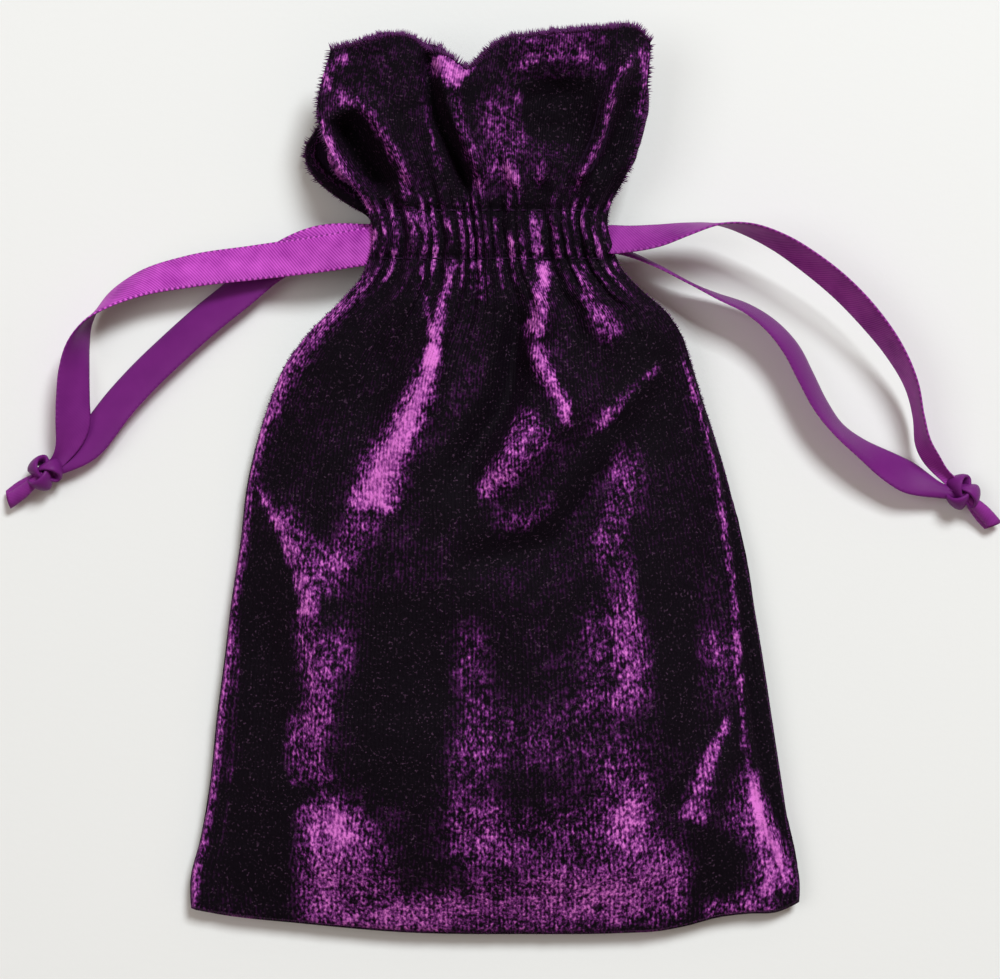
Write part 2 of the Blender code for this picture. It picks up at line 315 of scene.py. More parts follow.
@dataclass
class Shell:
    """A cloth made of an outer grid, an inner one behind it and a round rim between them.

    Attributes:
        outer: Rows by columns by three, in millimetres, with its normals outwards.
        thickness: How far the inner grid is behind the outer one.
        marks: Point attributes on the outer grid, which the inner one repeats.
    """

    outer: Array
    thickness: float | Array
    marks: dict[str, Array] = field(default_factory=dict)

    def build(self, name: str, material: bpy.types.Material) -> bpy.types.Object:
        """Make the closed mesh.

        The inner grid is outer - thickness * normal. The rim's middle is half-way between the
        two, pushed out by half the thickness along the rim's own outward direction.

        Args:
            name: The object's name.
            material: What it is made of.

        Returns:
            The new object.
        """
        rows, columns = self.outer.shape[:2]
        normals = grid_normals(self.outer)
        inner = self.outer - normals * np.broadcast_to(self.thickness, (rows, columns))[..., None]
        count = rows * columns
        index = np.arange(count).reshape(rows, columns)
        ring = np.concatenate([index[0, :-1], index[:-1, -1], index[-1, :0:-1], index[:0:-1, 0]])
        flat_outer, flat_inner = self.outer.reshape(-1, 3), inner.reshape(-1, 3)
        middle = (flat_outer[ring] + flat_inner[ring]) / 2
        out = np.cross(np.roll(middle, -1, 0) - np.roll(middle, 1, 0), normals.reshape(-1, 3)[ring])
        wall = np.linalg.norm(flat_outer[ring] - flat_inner[ring], axis=1, keepdims=True)
        middle = middle + unit(out) * wall * 0.45
        points = np.concatenate([flat_outer, flat_inner, middle])
        around = np.arange(len(ring))
        after = (around + 1) % len(ring)
        rim = 2 * count + around
        rim_after = 2 * count + after
        outer_faces = grid_faces(rows, columns)
        faces = [
            outer_faces,
            outer_faces[:, ::-1] + count,
            np.stack([ring[after], ring[around], rim, rim_after], axis=1),
            np.stack([rim_after, rim, ring[around] + count, ring[after] + count], axis=1),
        ]
        marks = {}
        for key, values in self.marks.items():
            flat = values.ravel()
            marks[key] = np.concatenate([flat, flat, flat[ring]])
        marks["inside"] = np.concatenate([np.zeros(count), np.ones(count), np.full(len(ring), 0.3)])
        return make_object(name, points, faces, material, **marks)


def tube_rings(path: Array, across: Array, lift: Array, profile: Array) -> Array:
    """Carry a profile along a path: point + across * a + lift * b for each profile point (a, b).

    Args:
        path: Points along the middle.
        across: Unit vectors of the profile's first direction.
        lift: Unit vectors of its second.
        profile: Rings by corners by two, or corners by two for one profile all along.

    Returns:
        Rings by corners by three.
    """
    profile = np.broadcast_to(profile, (len(path), *profile.shape[-2:]))
    return path[:, None] + across[:, None] * profile[..., :1] + lift[:, None] * profile[..., 1:]


def tube_faces(rings: int, corners: int, first: int = 0, looped: bool = False) -> list[Array]:
    """Faces of a tube: quads between rings, and a cap on each end unless it closes on itself.

    Args:
        rings: How many rings there are.
        corners: Corners of one ring.
        first: Index of the first vertex.
        looped: Whether the last ring joins the first.

    Returns:
        The quads, then the caps if there are any.
    """
    sides = grid_faces(rings, corners, closed=True)
    if looped:
        j = np.arange(corners)
        last = (rings - 1) * corners
        after = (j + 1) % corners
        closing = np.stack([last + j, last + after, after, j], axis=1)
        return [np.concatenate([sides, closing]) + first]
    start = np.arange(corners)[::-1][None]
    end = np.arange(corners)[None] + (rings - 1) * corners
    return [sides + first, start + first, end + first]


def frames(path: Array, turn: Array) -> tuple[Array, Array]:
    """Directions that follow a path: across is level at turn 0, and turns about the path.

    Args:
        path: Points along the middle.
        turn: Turn about the path at each point, in radians.

    Returns:
        across and lift, each one unit vector for each point.
    """
    ahead = unit(np.gradient(path, axis=0))
    level = unit(np.cross(np.array([0.0, 0.0, 1.0]), ahead))
    up = np.cross(ahead, level)
    c, s = np.cos(turn)[:, None], np.sin(turn)[:, None]
    return level * c + up * s, up * c - level * s


def resample(rows: Array, step: float) -> Array:
    """Points about step apart on the smooth curve through rows, by the distance in x, y and z.

    Args:
        rows: Rows whose first three numbers are a place.
        step: The spacing wanted.

    Returns:
        Rows of the same length.
    """
    lengths = np.linalg.norm(np.diff(rows[:, :3], axis=0), axis=1)
    knots = np.concatenate([[0], np.cumsum(lengths)])
    fine = through(knots, rows, np.linspace(0, knots[-1], 800))
    walked = np.concatenate([[0], np.cumsum(np.linalg.norm(np.diff(fine[:, :3], axis=0), axis=1))])
    count = max(int(round(walked[-1] / step)), 2)
    wanted = np.linspace(0, walked[-1], count + 1)
    return np.stack([np.interp(wanted, walked, fine[:, k]) for k in range(rows.shape[1])], axis=1)


def length_of(path: Array) -> float:
    """The length of a line of points."""
    return float(np.linalg.norm(np.diff(path, axis=0), axis=1).sum())


# ---------------------------------------------------------------- shaders


class Wire:
    """A shader socket that takes arithmetic: each operator adds a Math node."""

    def __init__(self, book: "NodeBook", socket: bpy.types.NodeSocket) -> None:
        """Keep the socket and the tree it is in.

        Args:
            book: The tree's maker.
            socket: An output socket.
        """
        self.book = book
        self.socket = socket

    def math(self, operation: str, *others: "Wire | float") -> "Wire":
        """Any Math node on this value.

        Args:
            operation: The node's operation.
            others: Its second and third values.

        Returns:
            The result.
        """
        links = dict(enumerate((self, *others)))
        return self.book.node("ShaderNodeMath", {"operation": operation}, links)

    def __add__(self, other: "Wire | float") -> "Wire":
        """self + other."""
        return self.math("ADD", other)

    __radd__ = __add__

    def __mul__(self, other: "Wire | float") -> "Wire":
        """self * other."""
        return self.math("MULTIPLY", other)

    __rmul__ = __mul__

    def __sub__(self, other: "Wire | float") -> "Wire":
        """self - other."""
        return self.math("SUBTRACT", other)

    def __rsub__(self, other: float) -> "Wire":
        """other - self."""
        return self.book.node("ShaderNodeMath", {"operation": "SUBTRACT"}, {0: other, 1: self})

    def wave(self, pitch: float) -> "Wire":
        """sin(2 pi * self / pitch)."""
        return (self * (2 * math.pi / pitch)).math("SINE")

    def between(self, low: float, high: float) -> "Wire":
        """Ease from 0 at low to 1 at high.

        Args:
            low: Where the result is 0.
            high: Where it is 1.

        Returns:
            The eased value.
        """
        links = {0: self, 1: low, 2: high, 3: 0.0, 4: 1.0}
        return self.book.node("ShaderNodeMapRange", {"interpolation_type": "SMOOTHSTEP"}, links)


class NodeBook:
    """Writes one material's node tree."""

    def __init__(self, name: str) -> None:
        """Start a material with a lone Principled shader.

        Args:
            name: The material's name.
        """
        self.material = bpy.data.materials.new(name)
        self.material.use_nodes = True
        self.tree = self.material.node_tree
        self.shader = self.tree.nodes["Principled BSDF"]

    def node(
        self, kind: str, settings: dict[str, object], links: dict[int | str, object], out: int | str = 0
    ) -> Wire:
        """Make any node.

        Args:
            kind: Its type.
            settings: Its own properties, which are set first.
            links: Values or wires for its inputs.
            out: The output wanted.

        Returns:
            That output.
        """
        made = self.tree.nodes.new(kind)
        for key, value in settings.items():
            setattr(made, key, value)
        for key, value in links.items():
            if isinstance(value, Wire):
                self.tree.links.new(value.socket, made.inputs[key])
            else:
                made.inputs[key].default_value = value
        return Wire(self, made.outputs[out])

    def place(self, scale: Place = (1.0, 1.0, 1.0)) -> Wire:
        """Object coordinates, stretched by scale.

        Args:
            scale: What x, y and z are multiplied by.

        Returns:
            The coordinates.
        """
        raw = self.node("ShaderNodeTexCoord", {}, {}, "Object")
        return self.node("ShaderNodeMapping", {}, {"Vector": raw, "Scale": scale})

    def mark(self, name: str) -> Wire:
        """A point attribute as a value."""
        return self.node("ShaderNodeAttribute", {"attribute_name": name}, {}, "Fac")

    def noise(self, vector: Wire, scale: float, detail: float = 3.0, rough: float = 0.6) -> Wire:
        """Noise of about 0 to 1.

        Args:
            vector: Coordinates in metres.
            scale: Lumps to the metre.
            detail: Layers of finer noise.
            rough: How strong they are.

        Returns:
            The noise.
        """
        links = {"Vector": vector, "Scale": scale, "Detail": detail, "Roughness": rough}
        return self.node("ShaderNodeTexNoise", {}, links)

    def blend(self, share: Wire, first: Wire | Colour, second: Wire | Colour) -> Wire:
        """Mix two colours.

        Args:
            share: 0 for the first and 1 for the second.
            first: A colour.
            second: Another.

        Returns:
            The mix.
        """
        pair = [c if isinstance(c, Wire) else (*c, 1.0) for c in (first, second)]
        settings = {"data_type": "RGBA", "clamp_factor": True}
        return self.node("ShaderNodeMix", settings, {0: share, 6: pair[0], 7: pair[1]}, 2)

    def set(self, **values: object) -> None:
        """Set or link the shader's own sockets; an underscore in a name stands for a space.

        Args:
            values: Socket names and their numbers, colours or wires.
        """
        for key, value in values.items():
            socket = self.shader.inputs[key.replace("_", " ")]
            if isinstance(value, Wire):
                self.tree.links.new(value.socket, socket)
            else:
                socket.default_value = value

    def bump(self, height: Wire, distance: float, strength: float) -> Wire:
        """A Bump node.

        Args:
            height: The relief, of about 0 to 1.
            distance: Its depth in metres.
            strength: How much of it shows.

        Returns:
            The normal.
        """
        links = {"Height": height, "Distance": distance, "Strength": strength}
        return self.node("ShaderNodeBump", {}, links, "Normal")


@dataclass(frozen=True)
class Mottle:
    """One noise of the crushed pile: (noise - 1/2) * swing.

    Attributes:
        stretch: What x, y and z are multiplied by; less than 1 draws the lumps out that way.
        lumps: Lumps to the metre.
        layers: Layers of finer noise.
        rough: How strong those layers are.
        swing: What the noise about 0 is multiplied by.
        share: How much of it goes into the pile's level.
    """

    stretch: Place
    lumps: float
    layers: float
    rough: float
    swing: float
    share: float

    def wire(self, book: NodeBook) -> Wire:
        """Write the noise into a material."""
        return (book.noise(book.place(self.stretch), self.lumps, self.layers, self.rough) - 0.5) * self.swing


@dataclass(frozen=True)
class VelvetFinish:
    """Crushed knitted velvet: a dark pile on fine wales, with painted highlights that break up into specks,
    and painted shade.

    Attributes:
        dark: The pile seen end on.
        low: A little painted light in it.
        middle: Half-bright painted highlight.
        bright: The full painted highlight.
        inside: The knitted back of the cloth.
        speck: A single fibre that catches the light.
        wale_pitch: The distance between wales, in millimetres.
        grain: The finest noise.
        clump: Tufts of fibres that lie together.
        columns: Streaks along the cloth.
        bars: Streaks across it.
    """

    dark: Colour = (0.0042, 0.0025, 0.0048)
    low: Colour = (0.040, 0.0070, 0.046)
    middle: Colour = (0.205, 0.033, 0.222)
    bright: Colour = (0.72, 0.180, 0.64)
    inside: Colour = (0.012, 0.005, 0.015)
    speck: Colour = (0.125, 0.060, 0.120)
    wale_pitch: float = 0.8
    grain: Mottle = Mottle((1.0, 0.62, 1.0), 2000.0, 1.5, 0.60, 4.2, 0.70)
    clump: Mottle = Mottle((1.0, 0.85, 1.0), 620.0, 3.0, 0.68, 3.2, 0.50)
    columns: Mottle = Mottle((1.0, 0.3, 1.0), 330.0, 2.0, 0.60, 3.0, 0.30)
    bars: Mottle = Mottle((0.3, 1.0, 1.0), 260.0, 2.0, 0.60, 3.0, 0.26)

    def material(self, name: str) -> bpy.types.Material:
        """Write the velvet's nodes.

        The level is the painted light (highlights, and painted shade below 0) + (columns + bars + clumps +
        grain) * gain
        + wales. The gain grows with the painted light and falls again where it is highest, so that
          half-bright cloth breaks up into specks most.

        Args:
            name: The material's name.

        Returns:
            The material.
        """
        book = NodeBook(name)
        painted_light = book.mark("painted_light")
        grain, clump = self.grain.wire(book), self.clump.wire(book)
        columns, bars = self.columns.wire(book), self.bars.wire(book)
        wale = book.mark("wale").wave(self.wale_pitch)
        gain = painted_light.between(-0.1, 0.42) * 0.87 + 0.13
        gain = gain * (1 - 0.45 * painted_light.between(0.75, 1.25))
        broad = columns * self.columns.share + bars * self.bars.share
        level = painted_light + (broad + clump * self.clump.share + grain * self.grain.share) * gain
        level = level + wale * (0.06 + 0.08 * gain)
        # Painted highlight: the level lifts the dark pile to low, middle and bright; below 0 it is painted
        # shade that stays dark.
        colour = book.blend(level.between(0.0, 0.5), self.dark, self.low)
        colour = book.blend(level.between(0.36, 0.9), colour, self.middle)
        colour = book.blend(level.between(0.72, 1.55), colour, self.bright)
        fleck = book.noise(book.place(), 2300.0, 1.0, 0.5).between(0.59, 0.74)
        colour = book.blend(fleck * (0.16 + 0.5 * clump.between(-0.3, 0.9)), colour, self.speck)
        colour = book.blend(book.mark("inside"), colour, self.inside)
        relief = grain * 0.12 + clump * 0.14 + wale * 0.10
        book.set(
            Base_Color=colour,
            Roughness=0.7,
            Specular_IOR_Level=0.035,
            Sheen_Weight=0.025,
            Sheen_Roughness=0.42,
            Sheen_Tint=(0.80, 0.24, 0.84, 1.0),
            Normal=book.bump(relief, 0.0004, 0.8),
        )
        return book.material


@dataclass(frozen=True)
class PileFinish:
    """Loose pile fibres at a cut or turned edge, darker at their bases than at their tips."""

    base: Colour = (0.012, 0.003, 0.015)
    tip: Colour = (0.135, 0.025, 0.145)

    def material(self, name: str) -> bpy.types.Material:
        """Write the fibres' nodes.

        Args:
            name: The material's name.

        Returns:
            The material.
        """
        book = NodeBook(name)
        uneven = book.noise(book.place(), 900.0, 2.0)
        share = book.mark("tip") * 0.7 + uneven * 0.5
        book.set(
            Base_Color=book.blend(share, self.base, self.tip),
            Roughness=0.6,
            Specular_IOR_Level=0.1,
            Sheen_Weight=0.2,
            Sheen_Roughness=0.4,
            Sheen_Tint=(0.8, 0.3, 0.85, 1.0),
        )
        return book.material


@dataclass(frozen=True)
class SatinFinish:
    """Single-faced satin ribbon: a smooth face, a ribbed reverse and a looped edge.

    Attributes:
        face: The smooth face.
        reverse: The ribbed face, between its ribs.
        light: The ribs and the edge's loops.
        shade: The hollows on the smooth face and at the edge.
        rib_pitch: The distance between ribs along the ribbon, in millimetres.
        rib_slant: How many ribs one rib crosses on its way over the width.
        loop_pitch: The distance between loops.
        threads: Lengthways threads over the width.
    """

    face: Colour = (0.190, 0.019, 0.200)
    reverse: Colour = (0.23, 0.010, 0.24)
    light: Colour = (0.74, 0.120, 0.71)
    shade: Colour = (0.115, 0.010, 0.130)
    rib_pitch: float = 0.5
    rib_slant: float = 9.0
    loop_pitch: float = 0.95
    threads: float = 34.0

    def material(self, name: str) -> bpy.types.Material:
        """Write the ribbon's nodes. "across" is 0 to 1 over the width, and "down" millimetres along.

        Args:
            name: The material's name.

        Returns:
            The material.
        """
        book = NodeBook(name)
        across, down, back = book.mark("across"), book.mark("down"), book.mark("back")
        slant = down * (1 / self.rib_pitch) + across * self.rib_slant
        rib = slant.wave(1.0) * 0.5 + 0.5
        thread = across.wave(1 / self.threads) * 0.5 + 0.5
        edge = (across - 0.5).math("ABSOLUTE").between(0.435, 0.46)
        loops = down.wave(self.loop_pitch).between(-0.3, 0.5)
        cloud = book.noise(book.place(), 210.0, 2.0)
        face = book.blend(thread * 0.25 + cloud * 0.6, self.shade, self.face)
        reverse = book.blend(rib * 0.48 + cloud * 0.95 - 0.34, self.reverse, self.light)
        colour = book.blend(back, face, reverse)
        looped = book.blend(loops * back, self.shade, self.light)
        colour = book.blend(edge * (0.35 + 0.35 * back), colour, looped)
        relief = back * rib * 0.7 + thread * 0.12 * (1 - back) + edge * loops * 0.6
        book.set(
            Base_Color=colour,
            Roughness=0.38 + back * 0.10 + thread * 0.04,
            Specular_IOR_Level=0.10,
            Normal=book.bump(relief, 0.00012, 0.6),
        )
        return book.material


@dataclass(frozen=True)
class ThreadFinish:
    """Twisted sewing thread, dark to match the velvet."""

    base: Colour = (0.010, 0.003, 0.012)
    light: Colour = (0.034, 0.007, 0.040)

    def material(self, name: str) -> bpy.types.Material:
        """Write the thread's nodes.

        Args:
            name: The material's name.

        Returns:
            The material.
        """
        book = NodeBook(name)
        twist = book.node(
            "ShaderNodeTexWave",
            {"wave_type": "BANDS", "bands_direction": "DIAGONAL"},
            {"Vector": book.place(), "Scale": 900.0, "Distortion": 1.0},
            "Fac",
        )
        book.set(
            Base_Color=book.blend(twist, self.base, self.light),
            Roughness=0.65,
            Specular_IOR_Level=0.1,
            Normal=book.bump(twist, 0.0001, 0.5),
        )
        return book.material


# ---------------------------------------------------------------- the velvet pouch
#
# y runs up the pouch, from the bottom seam to the ruffle. STITCH_ROWS are where the channel is sewn,
# and RUFFLE_START is where the free ruffle begins. The edge tables give x at each y of a side, or y at
# each place across, -1 to 1.

STITCH_ROWS = (37.6, 45.7)
RUFFLE_START = 46.0

LEFT_EDGE: Points = (
    (-76.0, -50.2), (-71.0, -50.7), (-67.0, -50.8), (-60.0, -49.2), (-50.0, -47.6), (-40.0, -46.6),
    (-30.0, -45.3), (-20.0, -44.1), (-10.0, -42.6), (0.0, -41.4), (7.0, -39.8), (14.0, -37.7),
    (20.5, -34.8), (25.6, -30.9), (30.6, -25.9), (34.0, -22.9), (38.0, -21.2), (42.0, -20.6),
    (46.0, -21.6), (52.0, -25.4), (58.0, -28.9), (63.0, -29.9), (68.0, -29.1), (72.0, -27.9), (76.0, -27.0),
)
RIGHT_EDGE: Points = (
    (-76.0, 50.3), (-71.0, 50.6), (-67.0, 50.7), (-60.0, 49.3), (-50.0, 47.8), (-40.0, 46.3),
    (-30.0, 44.8), (-20.0, 43.1), (-10.0, 41.1), (0.0, 38.9), (7.0, 36.9), (14.0, 34.8),
    (20.5, 32.8), (25.6, 30.9), (29.0, 28.4), (32.3, 24.6), (36.0, 21.2), (40.0, 19.7),
    (44.0, 18.9), (47.0, 19.6), (51.0, 21.7), (56.0, 23.4), (62.0, 24.9), (69.0, 25.9), (76.0, 26.2),
)
BACK_LEFT_EDGE: Points = (
    *LEFT_EDGE[:17], (42.0, -20.9), (44.5, -21.4), (47.0, -25.4), (50.0, -29.4), (53.5, -31.8),
    (56.5, -31.9), (60.0, -29.8), (66.0, -27.0), (76.0, -25.0),
)
BACK_RIGHT_EDGE: Points = (
    *RIGHT_EDGE[:17], (40.0, 19.7), (44.0, 18.8), (47.0, 19.2), (52.0, 21.0), (60.0, 22.6), (76.0, 23.0),
)
BOTTOM_EDGE: Points = (
    (-1.0, -71.4), (-0.9, -72.4), (-0.65, -73.9), (-0.3, -75.5), (0.1, -75.8), (0.42, -75.6), (0.55, -75.2),
    (0.64, -74.3), (0.74, -72.9), (0.84, -72.2), (0.94, -71.8), (1.0, -70.4),
)
TOP_EDGE: Points = (
    (-1.0, 72.6), (-0.88, 73.2), (-0.72, 74.3), (-0.58, 74.9), (-0.48, 74.1), (-0.405, 72.5), (-0.33, 72.1),
    (-0.25, 71.4), (-0.176, 70.2), (-0.125, 69.3), (-0.07, 70.1), (-0.006, 72.4), (0.10, 74.3), (0.30, 75.0),
    (0.55, 75.6), (0.75, 76.0), (0.92, 75.9), (1.0, 74.0),
)
BACK_TOP_EDGE: Points = ((-1.0, 66.0), (-0.6, 69.5), (-0.2, 68.2), (0.2, 69.8), (0.6, 71.0), (1.0, 69.0))

FOLDS = (
    Stroke(((-7.2, 36.5), (-9.6, 27.6), (-10.6, 20.0), (-15.0, 10.3), (-20.5, -3.0)),
           2.6, (1.8, 5.0), 0.9, 0.3),
    Stroke(((-17.0, 31.0), (-18.5, 22.0), (-20.5, 13.0), (-25.0, 2.0)), -2.2, (3.0, 5.5), 1.0, 0.4),
    Stroke(((3.7, 33.0), (3.4, 23.1), (1.8, 13.1), (-3.2, 4.5), (-8.6, -5.2)), -3.4, (1.5, 3.0), 1.25, 0.3),
    Stroke(((7.2, 36.5), (7.9, 27.6), (6.6, 22.4), (10.6, 15.4), (13.0, 10.3)), 2.4, (1.5, 2.6), 1.0, 0.3),
    Stroke(((20.0, 17.5), (12.0, 11.5), (4.6, 5.6), (-3.4, -2.6)), 3.3, (3.6, 4.2), 1.15, 0.3),
    Stroke(((14.1, 36.5), (16.5, 27.6), (22.0, 22.6)), 1.5, (1.4, 2.2), 1.0, 0.3),
    Stroke(((28.5, 20.8), (24.1, 15.2), (17.5, 9.6)), 1.3, (1.6, 2.2), 1.0, 0.35),
    Stroke(((-12.0, -15.0), (-1.0, -13.2), (10.8, -9.6), (18.5, -0.2), (27.6, 12.1)),
           -2.6, (4.0, 3.4), 0.8, 0.35),
    Stroke(((-40.6, 2.0), (-34.2, -9.2), (-30.6, -22.0), (-28.6, -38.0), (-27.4, -56.0)),
           1.8, (2.4, 4.0), 1.0, 0.35),
    Stroke(((-38.6, -14.0), (-37.6, -34.0), (-38.4, -54.0)), -1.3, (3.4, 4.2), 1.0, 0.4),
    Stroke(((19.0, 1.0), (22.6, -16.5), (26.0, -36.0), (30.0, -54.0)), 1.2, (4.6, 6.0), 1.0, 0.35),
    Stroke(((36.0, 14.0), (36.2, -8.0), (36.6, -30.0), (38.0, -46.0)), -1.2, (3.6, 3.6), 1.0, 0.4),
    Stroke(((41.0, -40.5), (37.0, -52.0), (33.6, -64.0)), 1.7, (1.8, 3.0), 0.8, 0.35),
    Stroke(((-6.0, -16.0), (-5.0, -34.0), (-2.0, -52.0)), -1.5, (9.0, 9.0), 1.0, 0.4),
    Stroke(((-44.0, -62.0), (-20.0, -65.0), (6.0, -66.0), (30.0, -65.5), (46.0, -62.0)),
           0.9, (4.5, 4.5), 1.0, 0.3),
)
SEAM_FOLD = (
    Stroke(((31.5, 22.0), (35.7, 7.1), (39.4, -13.1), (41.2, -29.0), (42.2, -40.0), (45.6, -55.0),
            (49.6, -67.0)),
           0.8, (0.8, 0.8), 1.0, 0.06),
    Stroke(((33.0, 22.0), (37.2, 7.1), (40.8, -13.1), (42.8, -30.0), (44.0, -42.0), (47.0, -56.0),
            (50.2, -67.0)),
           -0.9, (0.9, 0.8), 1.0, 0.06),
)
RUFFLE_FOLDS = (
    Stroke(((-25.6, 62.6), (-22.8, 55.1), (-17.4, 48.0)), -5.6, (3.1, 2.4), 1.0, 0.25),
    Stroke(((-25.0, 66.0), (-19.6, 60.0), (-15.2, 52.4), (-13.4, 47.4)), 2.6, (2.4, 1.6), 1.0, 0.3),
    Stroke(((-29.4, 62.0), (-26.0, 52.8), (-21.9, 46.6)), 1.6, (1.2, 1.2), 1.0, 0.3),
    Stroke(((-11.6, 74.5), (-10.6, 64.0), (-6.2, 53.6), (-3.6, 46.6)), -4.2, (1.5, 1.5), 0.75, 0.2),
    Stroke(((-8.6, 73.0), (-7.4, 61.5), (-3.2, 53.6), (-1.4, 47.6)), 2.8, (2.6, 1.6), 1.2, 0.25),
    Stroke(((1.4, 57.0), (4.2, 47.8)), 1.8, (1.6, 1.2), 1.0, 0.35),
    Stroke(((10.0, 71.6), (11.0, 63.0), (9.0, 53.0)), -3.6, (6.2, 4.8), 1.0, 0.4),
    Stroke(((9.4, 56.0), (7.2, 49.0)), 1.5, (1.3, 1.1), 1.0, 0.35),
    Stroke(((24.4, 74.0), (19.2, 64.4), (17.2, 57.0), (12.6, 48.0)), 3.0, (1.3, 1.0), 1.3, 0.2),
    Stroke(((24.8, 68.0), (20.8, 58.6), (16.4, 50.0)), -2.0, (1.8, 1.6), 1.0, 0.3),
    Stroke(((-25.0, 74.0), (-16.0, 75.5)), 1.0, (3.0, 3.0), 1.0, 0.4),
    Stroke(((0.0, 72.0), (12.0, 76.0), (22.0, 76.0)), 1.2, (3.0, 3.0), 1.0, 0.3),
)
